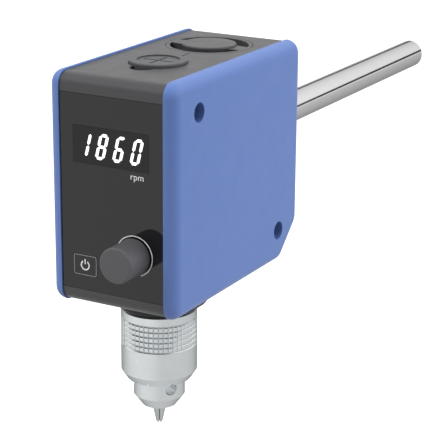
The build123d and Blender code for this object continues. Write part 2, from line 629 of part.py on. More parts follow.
def make_drive_frame():
    """The cast frame that carries both bearings, the motor, the support rod and the covers."""
    frame = side_slab(FRAME_INSET, -FRAME_HALF_WIDTH, FRAME_HALF_WIDTH)
    frame &= block(-FRAME_HALF_WIDTH, FRAME_HALF_WIDTH, FRAME_FRONT, 0, HOUSING_BOTTOM, FRAME_TOP)
    hollow = side_slab(FRAME_INSET + FRAME_PLATE, -FRAME_HALF_WIDTH - 1, FRAME_HALF_WIDTH + 1)
    hollow &= block(-FRAME_HALF_WIDTH - 1, FRAME_HALF_WIDTH + 1, -HOUSING_DEPTH, 0, HOUSING_BOTTOM,
                    FRAME_TOP - FRAME_PLATE)
    frame -= hollow
    frame += block(-FRAME_HALF_WIDTH, FRAME_HALF_WIDTH, FRAME_SHELF_FRONT, FRAME_REAR_INSIDE + 1,
                   SHELF_BOTTOM, FRAME_SHELF_TOP)

    frame += round_z(BEARING_TUBE_RADIUS, LOWER_BEARING_BOTTOM, FRAME_BASE_TOP, y=SPINDLE_Y)
    frame += round_z(BEARING_TUBE_RADIUS, FRAME_TOP - FRAME_PLATE, UPPER_BEARING_TOP, y=SPINDLE_Y)
    for y, z in COVER_SCREW_PLACES:
        frame += round_x(FRAME_POST_RADIUS, -FRAME_POST_END, FRAME_POST_END, y, z)
    rear_post_y, rear_post_z = COVER_SCREW_PLACES[1]
    frame += block(-FRAME_HALF_WIDTH, FRAME_HALF_WIDTH, rear_post_y - FRAME_PLATE / 2, rear_post_y + FRAME_PLATE / 2,
                   FRAME_BASE_TOP - 1, rear_post_z)
    frame += round_y(FRAME_ROD_BOSS_RADIUS, FRAME_REAR - 1, SHELL_REAR)

    for low, high, shoulder_low, shoulder_high in (
        (LOWER_BEARING_BOTTOM - 1, LOWER_BEARING_TOP, LOWER_BEARING_TOP, FRAME_BASE_TOP + 1),
        (UPPER_BEARING_BOTTOM, UPPER_BEARING_TOP + 1, FRAME_TOP - FRAME_PLATE - 1, UPPER_BEARING_BOTTOM),
    ):
        frame -= round_z(BEARING_OUTER_RADIUS, low, high, y=SPINDLE_Y)
        frame -= round_z(BEARING_OUTER_RADIUS - BEARING_SHOULDER, shoulder_low - 0.01, shoulder_high + 0.01, y=SPINDLE_Y)
    frame -= round_y(ROD_SPIGOT_RADIUS, FRAME_REAR_INSIDE - 1, SHELL_REAR + 1)
    inlet_end = SHELL_REAR - INLET_DEPTH
    frame -= round_y(INLET_FRAME_HOLE_RADIUS, inlet_end - PIECE_GAP, FRAME_REAR + 1, z=INLET_Z)
    frame -= round_z(MOTOR_BOSS_RADIUS + PIECE_GAP, SHELF_BOTTOM - 1, FRAME_SHELF_TOP + 1, y=MOTOR_Y)
    for x, y in motor_screw_places():
        frame -= round_z(MOTOR_SCREW_RADIUS + 0.1, SHELF_BOTTOM - 1, FRAME_SHELF_TOP + 1, x, y)
    for x, y in frame_screw_places():
        frame -= round_z(FRAME_SCREW_RADIUS, FRAME_BASE_BOTTOM - 1, FRAME_BASE_TOP + 1, x, y)
    tap_depth = COVER_SCREW_LENGTH + 1
    seat = SHELL_HALF_WIDTH + COVER_THICKNESS - COVER_RECESS_DEPTH
    for y, z in COVER_SCREW_PLACES:
        frame -= round_x(COVER_SCREW_RADIUS, seat - tap_depth, seat, y, z)
        frame -= round_x(COVER_SCREW_RADIUS, -seat, tap_depth - seat, y, z)
    return frame


def make_spindle_hub():
    """The black hub under the housing that covers the lower bearing's tube."""
    outline = make_hull((Pos(0, SPINDLE_Y) * Circle(HUB_RADIUS)).edges() + (Pos(0, HUB_REAR_Y) * Circle(HUB_RADIUS)).edges())
    hub = Pos(0, 0, HUB_BOTTOM) * extrude(outline, amount=SHELL_BOTTOM - HUB_BOTTOM)
    hub = fillet(hub.edges().group_by(Axis.Z)[0], HUB_EDGE_RADIUS)
    hub -= round_z(BEARING_TUBE_RADIUS + PIECE_GAP, HUB_BOTTOM + HUB_FLOOR, SHELL_BOTTOM + 1, y=SPINDLE_Y)
    hub -= round_z(HUB_OPENING_RADIUS, HUB_BOTTOM - 1, SHELL_BOTTOM, y=SPINDLE_Y)
    return hub


def make_shaft_seal():
    """The felt ring between the hub and the spindle's collar."""
    return ring_z(SPINDLE_COLLAR_RADIUS + RUNNING_CLEARANCE, HUB_OPENING_RADIUS, HUB_BOTTOM, HUB_BOTTOM + HUB_FLOOR)


def make_outer_race(bottom):
    """A ball bearing's outer race."""
    race = ring_z(BEARING_OUTER_LAND, BEARING_OUTER_RADIUS, bottom, bottom + BEARING_WIDTH)
    return race - ball_track(bottom)


def make_inner_race(bottom):
    """A ball bearing's inner race."""
    race = ring_z(SPINDLE_RADIUS, BEARING_INNER_LAND, bottom, bottom + BEARING_WIDTH)
    return race - ball_track(bottom)


def ball_track(bottom):
    """The groove that the balls roll in."""
    centre = Pos(0, SPINDLE_Y, bottom + BEARING_WIDTH / 2)
    return centre * Torus(BALL_CIRCLE_RADIUS, BALL_RADIUS + BALL_CLEARANCE)


def make_bearing_balls(bottom):
    """The balls of one bearing."""
    balls = []
    for index in range(BALL_COUNT):
        turn = math.radians(360 * index / BALL_COUNT)
        x = BALL_CIRCLE_RADIUS * math.cos(turn)
        y = SPINDLE_Y + BALL_CIRCLE_RADIUS * math.sin(turn)
        balls.append(Pos(x, y, bottom + BEARING_WIDTH / 2) * Sphere(BALL_RADIUS))
    return Compound(children=balls)


def make_spindle():
    """The hollow spindle with its collar and the groove of its retaining ring."""
    spindle = round_z(SPINDLE_RADIUS, CHUCK_SOCKET_BOTTOM, SPINDLE_TOP, y=SPINDLE_Y)
    spindle += round_z(SPINDLE_COLLAR_RADIUS, CHUCK_TOP, LOWER_BEARING_BOTTOM, y=SPINDLE_Y)
    spindle -= round_z(SPINDLE_BORE_RADIUS, CHUCK_SOCKET_BOTTOM - 1, SPINDLE_TOP + 1, y=SPINDLE_Y)
    groove = SPINDLE_RADIUS - RETAINING_GROOVE_DEPTH
    spindle -= ring_z(groove, SPINDLE_RADIUS + 1, UPPER_BEARING_TOP, UPPER_BEARING_TOP + RETAINING_RING_THICKNESS)
    return chamfer(spindle.edges().group_by(Axis.Z)[-1], 0.5)


def make_retaining_ring():
    """The open ring that keeps the spindle in the upper bearing."""
    groove = SPINDLE_RADIUS - RETAINING_GROOVE_DEPTH
    low = UPPER_BEARING_TOP
    high = low + RETAINING_RING_THICKNESS
    ring = ring_z(groove, RETAINING_RING_RADIUS, low, high)
    half = RETAINING_RING_RADIUS * math.sin(math.radians(RETAINING_RING_OPENING / 2))
    return ring - block(-half, half, SPINDLE_Y, SPINDLE_Y + 2 * RETAINING_RING_RADIUS, low - 1, high + 1)


def make_pulley(centre_y, radius, bore_radius, hub_top):
    """A flanged belt pulley with a hub on its upper side."""
    flange = radius + PULLEY_FLANGE_HEIGHT
    low = BELT_BOTTOM - PIECE_GAP
    high = BELT_TOP + PIECE_GAP
    pulley = round_z(radius, low, high, y=centre_y)
    pulley += round_z(flange, low - PULLEY_FLANGE_THICKNESS, low, y=centre_y)
    pulley += round_z(flange, high, high + PULLEY_FLANGE_THICKNESS, y=centre_y)
    if hub_top > high + PULLEY_FLANGE_THICKNESS:
        pulley += round_z(PULLEY_HUB_RADIUS, high, hub_top, y=centre_y)
    spare = 2 * PULLEY_FLANGE_THICKNESS
    return pulley - round_z(bore_radius, low - spare, max(hub_top, high) + spare, y=centre_y)


def make_spindle_pulley():
    """The large pulley on the spindle."""
    hub_top = BELT_TOP + PULLEY_FLANGE_THICKNESS + PULLEY_HUB_HEIGHT
    return make_pulley(SPINDLE_Y, SPINDLE_PULLEY_RADIUS, SPINDLE_RADIUS, hub_top)


def make_motor_pulley():
    """The small pulley on the motor's shaft."""
    return make_pulley(MOTOR_Y, MOTOR_PULLEY_RADIUS, MOTOR_SHAFT_RADIUS, BELT_TOP)


def make_drive_belt():
    """The flat belt round both pulleys, held a running gap off their rims."""
    def loop(extra):
        """The outline round both pulleys, moved outwards."""
        front = Pos(0, SPINDLE_Y) * Circle(SPINDLE_PULLEY_RADIUS + extra)
        rear = Pos(0, MOTOR_Y) * Circle(MOTOR_PULLEY_RADIUS + extra)
        return make_hull(front.edges() + rear.edges())
    band = loop(PIECE_GAP + BELT_THICKNESS) - loop(PIECE_GAP)
    return Pos(0, 0, BELT_BOTTOM) * extrude(band, amount=BELT_WIDTH)


def motor_screw_places():
    """The places in X and Y of the motor's four screws."""
    places = []
    for index in range(4):
        turn = math.radians(45 + 90 * index)
        places.append((MOTOR_SCREW_CIRCLE * math.cos(turn), MOTOR_Y + MOTOR_SCREW_CIRCLE * math.sin(turn)))
    return places


def make_motor_can():
    """The motor's drawn can."""
    low = MOTOR_FACE + MOTOR_PLATE_THICKNESS
    can = round_z(MOTOR_RADIUS, low, MOTOR_TOP, y=MOTOR_Y)
    can = fillet(can.edges().group_by(Axis.Z)[-1], 1.5)
    can -= round_z(MOTOR_RADIUS - MOTOR_CAN_WALL, low - 1, MOTOR_TOP - MOTOR_CAN_WALL, y=MOTOR_Y)
    return can


def make_motor_plate():
    """The motor's front plate with its bearing boss and tapped holes."""
    plate = round_z(MOTOR_RADIUS, MOTOR_FACE, MOTOR_FACE + MOTOR_PLATE_THICKNESS, y=MOTOR_Y)
    plate += round_z(MOTOR_BOSS_RADIUS, SHELF_BOTTOM, MOTOR_FACE, y=MOTOR_Y)
    plate -= round_z(MOTOR_SHAFT_RADIUS + RUNNING_CLEARANCE, SHELF_BOTTOM - 1, MOTOR_FACE + MOTOR_PLATE_THICKNESS + 1,
                     y=MOTOR_Y)
    for x, y in motor_screw_places():
        plate -= round_z(MOTOR_SCREW_RADIUS, MOTOR_FACE - 1, MOTOR_FACE + MOTOR_PLATE_THICKNESS + 1, x, y)
    return plate


def stator_levels():
    """The lowest and highest level of the stator's core."""
    middle = (MOTOR_FACE + MOTOR_PLATE_THICKNESS + MOTOR_TOP - MOTOR_CAN_WALL) / 2
    return middle - STATOR_HEIGHT / 2, middle + STATOR_HEIGHT / 2


def make_motor_stator():
    """The motor's slotted iron core."""
    low, high = stator_levels()
    stator = ring_z(STATOR_BORE_RADIUS, MOTOR_RADIUS - MOTOR_CAN_WALL, low, high, y=MOTOR_Y)
    slots = []
    for index in range(STATOR_SLOTS):
        turn = math.radians(360 * index / STATOR_SLOTS)
        reach = STATOR_BORE_RADIUS + 2 * STATOR_SLOT_RADIUS
        slots.append(round_z(STATOR_SLOT_RADIUS, low - 1, high + 1, reach * math.cos(turn),
                             MOTOR_Y + reach * math.sin(turn)))
    return stator - slots


def make_motor_rotor():
    """The magnet rotor on the motor's shaft."""
    low, high = stator_levels()
    return ring_z(MOTOR_SHAFT_RADIUS, STATOR_BORE_RADIUS - ROTOR_AIR_GAP, low, high, y=MOTOR_Y)


def make_motor_shaft():
    """The motor's shaft, which reaches down through its pulley."""
    low = BELT_BOTTOM - PIECE_GAP - PULLEY_FLANGE_THICKNESS - 1
    return round_z(MOTOR_SHAFT_RADIUS, low, MOTOR_TOP - MOTOR_CAN_WALL - PIECE_GAP, y=MOTOR_Y)


def make_motor_screws():
    """Four screws from under the shelf into the motor's plate."""
    screws = []
    for x, y in motor_screw_places():
        screw = round_z(MOTOR_SCREW_RADIUS, SHELF_BOTTOM, MOTOR_FACE + MOTOR_PLATE_THICKNESS, x, y)
        screw += round_z(MOTOR_SCREW_HEAD_RADIUS, SHELF_BOTTOM - MOTOR_SCREW_HEAD_HEIGHT, SHELF_BOTTOM, x, y)
        screws.append(screw)
    return Compound(children=screws)


def rod_washer_front():
    """The depth of the washer's front face inside the frame."""
    return FRAME_REAR_INSIDE - ROD_WASHER_THICKNESS


def make_support_rod():
    """The round rod that a stand's clamp holds, with its spigot."""
    rod = round_y(ROD_RADIUS, SHELL_REAR, ROD_LENGTH)
    rod = chamfer(rod.edges().group_by(Axis.Y)[-1], ROD_CHAMFER)
    spigot_end = rod_washer_front() - ROD_NUT_THICKNESS - ROD_SPIGOT_SPARE
    return rod + round_y(ROD_SPIGOT_RADIUS, spigot_end, SHELL_REAR + 1)


def make_rod_washer():
    """The washer under the rod's nut."""
    front = rod_washer_front()
    washer = round_y(ROD_WASHER_RADIUS, front, FRAME_REAR_INSIDE)
    return washer - round_y(ROD_SPIGOT_RADIUS, front - 1, FRAME_REAR_INSIDE + 1)


def make_rod_nut():
    """The nut that pulls the rod's shoulder against the frame."""
    front = rod_washer_front() - ROD_NUT_THICKNESS
    nut = hexagon_y(ROD_NUT_ACROSS_FLATS, front, rod_washer_front())
    return nut - round_y(ROD_SPIGOT_RADIUS, front - 1, FRAME_REAR)


def make_power_inlet():
    """The low-voltage barrel socket in the rear face."""
    front = SHELL_REAR - INLET_DEPTH
    inlet = round_y(INLET_RADIUS, front, SHELL_REAR + 0.01, z=INLET_Z)
    inlet += round_y(INLET_FLANGE_RADIUS, SHELL_REAR, SHELL_REAR + INLET_FLANGE_THICKNESS, z=INLET_Z)
    face = SHELL_REAR + INLET_FLANGE_THICKNESS
    inlet -= round_y(INLET_SOCKET_RADIUS, face - INLET_SOCKET_DEPTH, face + 1, z=INLET_Z)
    return inlet + round_y(INLET_PIN_RADIUS, face - INLET_SOCKET_DEPTH - 1, face - 1, z=INLET_Z)


def make_inlet_nut():
    """The nut that clamps the socket to the rear wall."""
    front = SHELL_REAR_INSIDE - INLET_NUT_THICKNESS
    nut = hexagon_y(INLET_NUT_FLATS, front, SHELL_REAR_INSIDE, z=INLET_Z)
    return nut - round_y(INLET_RADIUS, front - 1, SHELL_REAR_INSIDE + 1, z=INLET_Z)


def jaw_axis_radius(z):
    """The distance of a closed jaw's axis from the spindle's axis at a height."""
    lean = math.radians(JAW_ANGLE)
    at_tip = JAW_TIP_OUTER_RADIUS - JAW_RADIUS / math.cos(lean)
    return at_tip + (z - JAW_TIP) * math.tan(lean)


def jaw_outer_radius(z):
    """The distance of a closed jaw's outer side from the spindle's axis at a height."""
    return jaw_axis_radius(z) + JAW_RADIUS / math.cos(math.radians(JAW_ANGLE))


def slanted_round(radius, low, high, azimuth):
    """A cylinder along a jaw's axis between two heights of that axis."""
    slant = math.cos(math.radians(JAW_ANGLE))
    length = (high - low) / slant
    leaning = Pos(jaw_axis_radius(low), 0, low) * Rot(0, JAW_ANGLE, 0) * Pos(0, 0, length / 2) * Cylinder(radius, length)
    return Pos(0, SPINDLE_Y, 0) * Rot(0, 0, azimuth) * leaning


def make_chuck_jaw(index):
    """One of the three jaws, closed: a leaning round bar with two gripping faces and a toothed back."""
    azimuth = JAW_AZIMUTH + 120 * index
    overrun = 2 * JAW_RADIUS
    bar = slanted_round(JAW_RADIUS, JAW_TIP - overrun, JAW_REAR_Z, azimuth)
    reach = 4 * SLEEVE_RADIUS
    side = reach * math.tan(math.radians(60))
    wedge = make_face(Polyline((JAW_HALF_GAP, 0), (JAW_HALF_GAP + reach, -side), (JAW_HALF_GAP + reach, side), close=True))
    keep = Pos(0, SPINDLE_Y, JAW_TIP) * Rot(0, 0, azimuth) * extrude(wedge, amount=JAW_REAR_Z - JAW_TIP + overrun)
    jaw = bar & keep
    outer_half = Pos(0, SPINDLE_Y, 0) * Rot(0, 0, azimuth)
    lean = math.radians(JAW_ANGLE)
    for tooth in range(JAW_TEETH):
        z = JAW_REAR_Z - JAW_TOOTH_PITCH * (tooth + 1) * math.cos(lean)
        out = jaw_axis_radius(z) + JAW_RADIUS * math.cos(lean)
        groove = Rot(0, JAW_ANGLE, 0) * Box(2 * JAW_TOOTH_DEPTH, 4 * JAW_RADIUS, JAW_TOOTH_PITCH / 2)
        jaw -= outer_half * Pos(out, 0, z - JAW_RADIUS * math.sin(lean)) * groove
    return jaw


def make_chuck_body():
    """The chuck's core with three leaning jaw bores and three key holes."""
    groove_top = NUT_TOP + NUT_AXIAL_CLEARANCE
    groove_bottom = NUT_BOTTOM - NUT_AXIAL_CLEARANCE
    groove_radius = jaw_outer_radius(NUT_BOTTOM) + NUT_JAW_CLEARANCE - NUT_GROOVE_CLEARANCE
    body = turned([
        (0, NOSE_END_Z), (NOSE_BOTTOM_RADIUS, NOSE_END_Z), (NOSE_RADIUS, NOSE_SHOULDER),
        (NOSE_RADIUS, groove_bottom), (groove_radius, groove_bottom), (groove_radius, groove_top),
        (CHUCK_REAR_RADIUS, groove_top), (CHUCK_REAR_RADIUS, CHUCK_TOP), (0, CHUCK_TOP),
    ])
    body -= round_z(SPINDLE_RADIUS, CHUCK_SOCKET_BOTTOM, CHUCK_TOP + 1, y=SPINDLE_Y)
    body -= round_z(SPINDLE_BORE_RADIUS, NOSE_END_Z - 1, CHUCK_SOCKET_BOTTOM + 0.01, y=SPINDLE_Y)
    rise = JAW_TRAVEL * math.cos(math.radians(JAW_ANGLE))
    for index in range(3):
        body -= slanted_round(JAW_RADIUS + RUNNING_CLEARANCE, NOSE_END_Z - 2 * JAW_RADIUS, JAW_REAR_Z + rise + PIECE_GAP,
                              JAW_AZIMUTH + 120 * index)
        hole = Pos((KEY_HOLE_FLOOR + 2 * NOSE_RADIUS) / 2, 0, KEY_HOLE_Z) * Rot(0, 90, 0)
        hole *= Cylinder(KEY_HOLE_RADIUS, 2 * NOSE_RADIUS - KEY_HOLE_FLOOR)
        body -= Pos(0, SPINDLE_Y, 0) * Rot(0, 0, KEY_HOLE_AZIMUTH + 120 * index) * hole
    return body


def make_chuck_nut():
    """The nut inside the sleeve that drives the jaws' toothed backs."""
    inner_low = jaw_outer_radius(NUT_BOTTOM) + NUT_JAW_CLEARANCE
    inner_high = jaw_outer_radius(NUT_TOP) + NUT_JAW_CLEARANCE
    return turned([(inner_low, NUT_BOTTOM), (SLEEVE_BORE_RADIUS, NUT_BOTTOM), (SLEEVE_BORE_RADIUS, NUT_TOP),
                   (inner_high, NUT_TOP)])


def make_chuck_sleeve():
    """The knurled sleeve with the bevel teeth that the chuck key turns."""
    sleeve = turned([
        (NOSE_RADIUS + RUNNING_CLEARANCE, SLEEVE_BOTTOM), (SLEEVE_BOTTOM_RADIUS, SLEEVE_BOTTOM),
        (SLEEVE_RADIUS, SLEEVE_BEVEL_TOP), (SLEEVE_RADIUS, SLEEVE_TOP - SLEEVE_TOP_CHAMFER),
        (SLEEVE_RADIUS - SLEEVE_TOP_CHAMFER, SLEEVE_TOP), (SLEEVE_BORE_RADIUS, SLEEVE_TOP),
        (SLEEVE_BORE_RADIUS, NUT_BOTTOM), (NOSE_RADIUS + RUNNING_CLEARANCE, NUT_BOTTOM),
    ])
    gaps = []
    notch = make_face(Polyline((-TOOTH_GAP_WIDTH / 2, -1.0), (TOOTH_GAP_WIDTH / 2, -1.0), (0, TOOTH_GAP_HEIGHT),
                               close=True))
    prism = Pos(NOSE_RADIUS, 0, SLEEVE_BOTTOM) * Rot(0, TOOTH_GAP_LEAN, 0) * Rot(0, 90, 0) * Rot(0, 0, 90)
    prism *= extrude(notch, amount=SLEEVE_RADIUS)
    for index in range(SLEEVE_TEETH):
        gaps.append(Pos(0, SPINDLE_Y, 0) * Rot(0, 0, TOOTH_AZIMUTH + 360 * index / SLEEVE_TEETH) * prism)
    sleeve -= gaps

    knurl_bottom = KNURL_TOP - KNURL_ROWS * KNURL_PITCH
    half = KNURL_GROOVE_WIDTH / 2
    outside = SLEEVE_RADIUS + 0.1
    floor = SLEEVE_RADIUS - KNURL_DEPTH
    rings = []
    for row in range(KNURL_ROWS + 1):
        z = KNURL_TOP - row * KNURL_PITCH
        rings.append(turned([(outside, z - half), (outside, z + half), (floor, z)]))
    sleeve -= rings
    vee = make_face(Polyline((floor, 0), (outside, -half), (outside, half), close=True))
    groove = Pos(0, 0, knurl_bottom) * extrude(vee, amount=KNURL_TOP - knurl_bottom)
    sleeve -= [Pos(0, SPINDLE_Y, 0) * Rot(0, 0, 360 * column / KNURL_COLUMNS) * groove for column in range(KNURL_COLUMNS)]
    return sleeve


def make_spindle_cap():
    """The soft plug over the hollow spindle with its strap."""
    cap = round_z(CAP_RADIUS, CAP_SEAT, CAP_TOP, y=SPINDLE_Y)
    cap = fillet(cap.edges().group_by(Axis.Z)[-1], CAP_EDGE_RADIUS)
    skirt = CAP_HOLE_RADIUS - PIECE_GAP
    cap += ring_z(skirt - CAP_SKIRT_WALL, skirt, CAP_SEAT - CAP_SKIRT_REACH, CAP_SEAT + 0.1)
    dish_floor = CAP_TOP - CAP_DISH_DEPTH
    cap -= round_z(CAP_DISH_RADIUS, dish_floor, CAP_TOP + 1, y=SPINDLE_Y)
    half = CAP_CROSS_LENGTH / 2
    width = CAP_CROSS_WIDTH / 2
    cross_floor = dish_floor - CAP_CROSS_DEPTH
    cap -= block(-half, half, SPINDLE_Y - width, SPINDLE_Y + width, cross_floor, CAP_TOP)
    cap -= block(-width, width, SPINDLE_Y - half, SPINDLE_Y + half, cross_floor, CAP_TOP)
    strap_front = SPINDLE_Y + CAP_RADIUS - 1
    strap_low = CAP_STRAP_TOP - CAP_STRAP_THICKNESS
    cap += block(-CAP_STRAP_HALF_WIDTH, CAP_STRAP_HALF_WIDTH, strap_front, CAP_HINGE_Y, strap_low, CAP_STRAP_TOP)
    cap += round_x(CAP_STRAP_THICKNESS / 2, -CAP_STRAP_HALF_WIDTH, CAP_STRAP_HALF_WIDTH, CAP_HINGE_Y, CAP_HINGE_Z)
    return cap


def make_turn_cover():
    """The quarter-turn cover with a raised disc, two wings and a shallow hollow before and behind them."""
    floor_top = SHELL_TOP - TURN_COVER_FLOOR_DEPTH
    floor_bottom = floor_top - TURN_COVER_FLOOR
    pocket = TURN_COVER_BODY_RADIUS - TURN_COVER_WALL
    lug_top = TURN_LEDGE_BOTTOM - PIECE_GAP
    lug_bottom = lug_top - TURN_LUG_HEIGHT
    cover = round_z(TURN_COVER_BODY_RADIUS, lug_bottom, SHELL_TOP, y=TURN_COVER_Y)
    cover += round_z(TURN_COVER_RADIUS, TURN_SEAT, SHELL_TOP, y=TURN_COVER_Y)
    cover -= round_z(pocket, floor_top, SHELL_TOP + 1, y=TURN_COVER_Y)
    cover -= round_z(pocket, lug_bottom - 1, floor_bottom, y=TURN_COVER_Y)
    disc = round_z(TURN_DISC_RADIUS, floor_bottom, SHELL_TOP + TURN_DISC_RISE, y=TURN_COVER_Y)
    cover += fillet(disc.edges().group_by(Axis.Z)[-1], CAP_EDGE_RADIUS)
    wing = make_face(Polyline((0, -TURN_WING_FOOT_HALF_WIDTH), (pocket + 0.5, -TURN_WING_HALF_WIDTH),
                              (pocket + 0.5, TURN_WING_HALF_WIDTH), (0, TURN_WING_FOOT_HALF_WIDTH), close=True))
    for azimuth in (0, HALF_TURN):
        wing_body = extrude(wing, amount=SHELL_TOP - floor_bottom)
        cover += Pos(0, TURN_COVER_Y, floor_bottom) * Rot(0, 0, azimuth) * wing_body
        lug = turn_cover_sector(TURN_COVER_BODY_RADIUS + TURN_LUG_REACH, TURN_LUG_ANGLE, azimuth, lug_bottom, lug_top)
        cover += lug - round_z(pocket, lug_bottom - 1, SHELL_TOP, y=TURN_COVER_Y)
    return cover


def make_pieces():
    """Every piece by its node name."""
    pieces = {
        "center_shell": make_center_shell(),
        "left_cover": make_side_cover(-1),
        "right_cover": make_side_cover(1),
        "cover_screws": make_cover_screws(),
        "front_foil": make_front_foil(),
        "display_window": make_display_window(),
        "display_module": make_display_module(),
        "control_board": make_control_board(),
        "board_screws": make_board_screws(),
        "encoder_body": make_encoder_body(),
        "encoder_nut": make_encoder_nut(),
        "encoder_shaft": make_encoder_shaft(),
        "control_knob": make_control_knob(),
        "power_key": make_power_key(),
        "switch_plunger": make_switch_plunger(),
        "power_switch": make_power_switch(),
        "drive_frame": make_drive_frame(),
        "frame_screws": make_frame_screws(),
        "spindle_hub": make_spindle_hub(),
        "shaft_seal": make_shaft_seal(),
        "lower_outer_race": make_outer_race(LOWER_BEARING_BOTTOM),
        "lower_inner_race": make_inner_race(LOWER_BEARING_BOTTOM),
        "lower_balls": make_bearing_balls(LOWER_BEARING_BOTTOM),
        "upper_outer_race": make_outer_race(UPPER_BEARING_BOTTOM),
        "upper_inner_race": make_inner_race(UPPER_BEARING_BOTTOM),
        "upper_balls": make_bearing_balls(UPPER_BEARING_BOTTOM),
        "spindle": make_spindle(),
        "retaining_ring": make_retaining_ring(),
        "spindle_pulley": make_spindle_pulley(),
        "drive_belt": make_drive_belt(),
        "motor_can": make_motor_can(),
        "motor_plate": make_motor_plate(),
        "motor_stator": make_motor_stator(),
        "motor_rotor": make_motor_rotor(),
        "motor_shaft": make_motor_shaft(),
        "motor_pulley": make_motor_pulley(),
        "motor_screws": make_motor_screws(),
        "support_rod": make_support_rod(),
        "rod_washer": make_rod_washer(),
        "rod_nut": make_rod_nut(),
        "power_inlet": make_power_inlet(),
        "inlet_nut": make_inlet_nut(),
        "chuck_body": make_chuck_body(),
        "chuck_nut": make_chuck_nut(),
        "chuck_sleeve": make_chuck_sleeve(),
        "spindle_cap": make_spindle_cap(),
        "turn_cover": make_turn_cover(),
    }
    for index in range(3):
        pieces[f"chuck_jaw_{index + 1}"] = make_chuck_jaw(index)
    return pieces


def main():
    """Writes one STEP file per piece."""
    os.makedirs("parts", exist_ok=True)
    for name, piece in make_pieces().items():
        export_step(piece, f"parts/{name}.step")


main()
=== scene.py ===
"""Looks for a compact overhead laboratory stirrer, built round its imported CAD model.

Millimetres are used in the sizes below, and every mesh is made in metres in the CAD's own frame:
the support rod runs along +Y from the origin, the front panel faces -Y and the chuck hangs towards -Z.
"""
from __future__ import annotations

import logging
import math
from dataclasses import dataclass, field
from enum import Enum
from typing import Iterable, Union

import bmesh
import bpy
from mathutils import Matrix, Vector


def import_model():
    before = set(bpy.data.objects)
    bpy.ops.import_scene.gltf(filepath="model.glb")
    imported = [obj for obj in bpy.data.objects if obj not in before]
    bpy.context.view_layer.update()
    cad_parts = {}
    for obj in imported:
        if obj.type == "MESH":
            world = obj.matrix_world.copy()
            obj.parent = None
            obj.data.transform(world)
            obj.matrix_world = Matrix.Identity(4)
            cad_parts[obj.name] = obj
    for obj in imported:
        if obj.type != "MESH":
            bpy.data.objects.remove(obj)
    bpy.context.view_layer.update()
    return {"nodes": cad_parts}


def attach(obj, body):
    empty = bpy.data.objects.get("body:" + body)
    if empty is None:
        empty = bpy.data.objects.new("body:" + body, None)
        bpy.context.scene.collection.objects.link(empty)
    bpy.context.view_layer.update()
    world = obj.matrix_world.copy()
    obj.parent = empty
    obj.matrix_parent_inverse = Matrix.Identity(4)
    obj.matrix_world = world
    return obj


MM = 0.001
PHOTO_WIDTH_PX = 430
# Depth of the foil's front face, which carries all that is lit or printed
FOIL_FACE_Y = -121.5
# Nearly all values of a noise texture lie between these two
NOISE_LOW = 0.3
NOISE_HIGH = 0.7
# A printed arc is made of straight runs of about this many degrees, and of no fewer than these steps
ARC_STEP = 5.0
ARC_FEWEST_STEPS = 8
# Points of a letter's outline that are nearer than this are one point
MERGE_DISTANCE = 1e-5
LOG = logging.getLogger("stirrer")

Rgba = tuple[float, float, float, float]
Key = Union[str, int]


def linear(code: str) -> Rgba:
    """Turns an sRGB hex colour into linear light.

    Args:
        code: The colour as six hex digits after a hash sign.

    Returns:
        The linear red, green and blue, with an alpha of 1.
    """
    channels = [int(code[start:start + 2], 16) / 255 for start in (1, 3, 5)]
    light = [c / 12.92 if c <= 0.04045 else ((c + 0.055) / 1.055) ** 2.4 for c in channels]
    return light[0], light[1], light[2], 1.0


def per_metre(size_mm: float) -> float:
    """Returns how many features of a size in millimetres fit into a metre."""
    return 1000.0 / size_mm


def add_node(
    tree: bpy.types.NodeTree,
    kind: str,
    settings: dict[Key, object] | None = None,
    links: dict[Key, bpy.types.NodeSocket] | None = None,
) -> bpy.types.Node:
    """Adds a node with its settings and links.

    Args:
        tree: The node tree.
        kind: The node's type name.
        settings: Values by the name of an attribute, or by the name or number of an input.
        links: Output sockets by the name or number of the input that they feed.

    Returns:
        The new node.
    """
    node = tree.nodes.new(kind)
    for key, value in (settings or {}).items():
        if isinstance(key, str) and hasattr(node, key):
            setattr(node, key, value)
        else:
            node.inputs[key].default_value = value
    for key, socket in (links or {}).items():
        tree.links.new(socket, node.inputs[key])
    return node


def grey_ramp(
    tree: bpy.types.NodeTree, value: bpy.types.NodeSocket, stops: tuple[tuple[float, float], ...]
) -> bpy.types.NodeSocket:
    """Turns a value into a grey tone, with straight lines between its stops.

    Args:
        tree: The node tree.
        value: The value.
        stops: Pairs of a value and its tone in linear light, in rising order.

    Returns:
        The socket that gives the tone.
    """
    low, high = stops[0][0], stops[-1][0]
    share = add_node(tree, "ShaderNodeMapRange", {"From Min": low, "From Max": high}, {"Value": value})
    ramp = add_node(tree, "ShaderNodeValToRGB", {}, {0: share.outputs[0]})
    marks = ramp.color_ramp.elements
    marks[0].color = (stops[0][1],) * 3 + (1.0,)
    marks[-1].color = (stops[-1][1],) * 3 + (1.0,)
    for place, tone in stops[1:-1]:
        marks.new((place - low) / (high - low)).color = (tone, tone, tone, 1.0)
    return ramp.outputs[0]


class Axis(Enum):
    """The axis that a turned or ground piece was worked about."""

    X = "X"
    Y = "Y"
    Z = "Z"


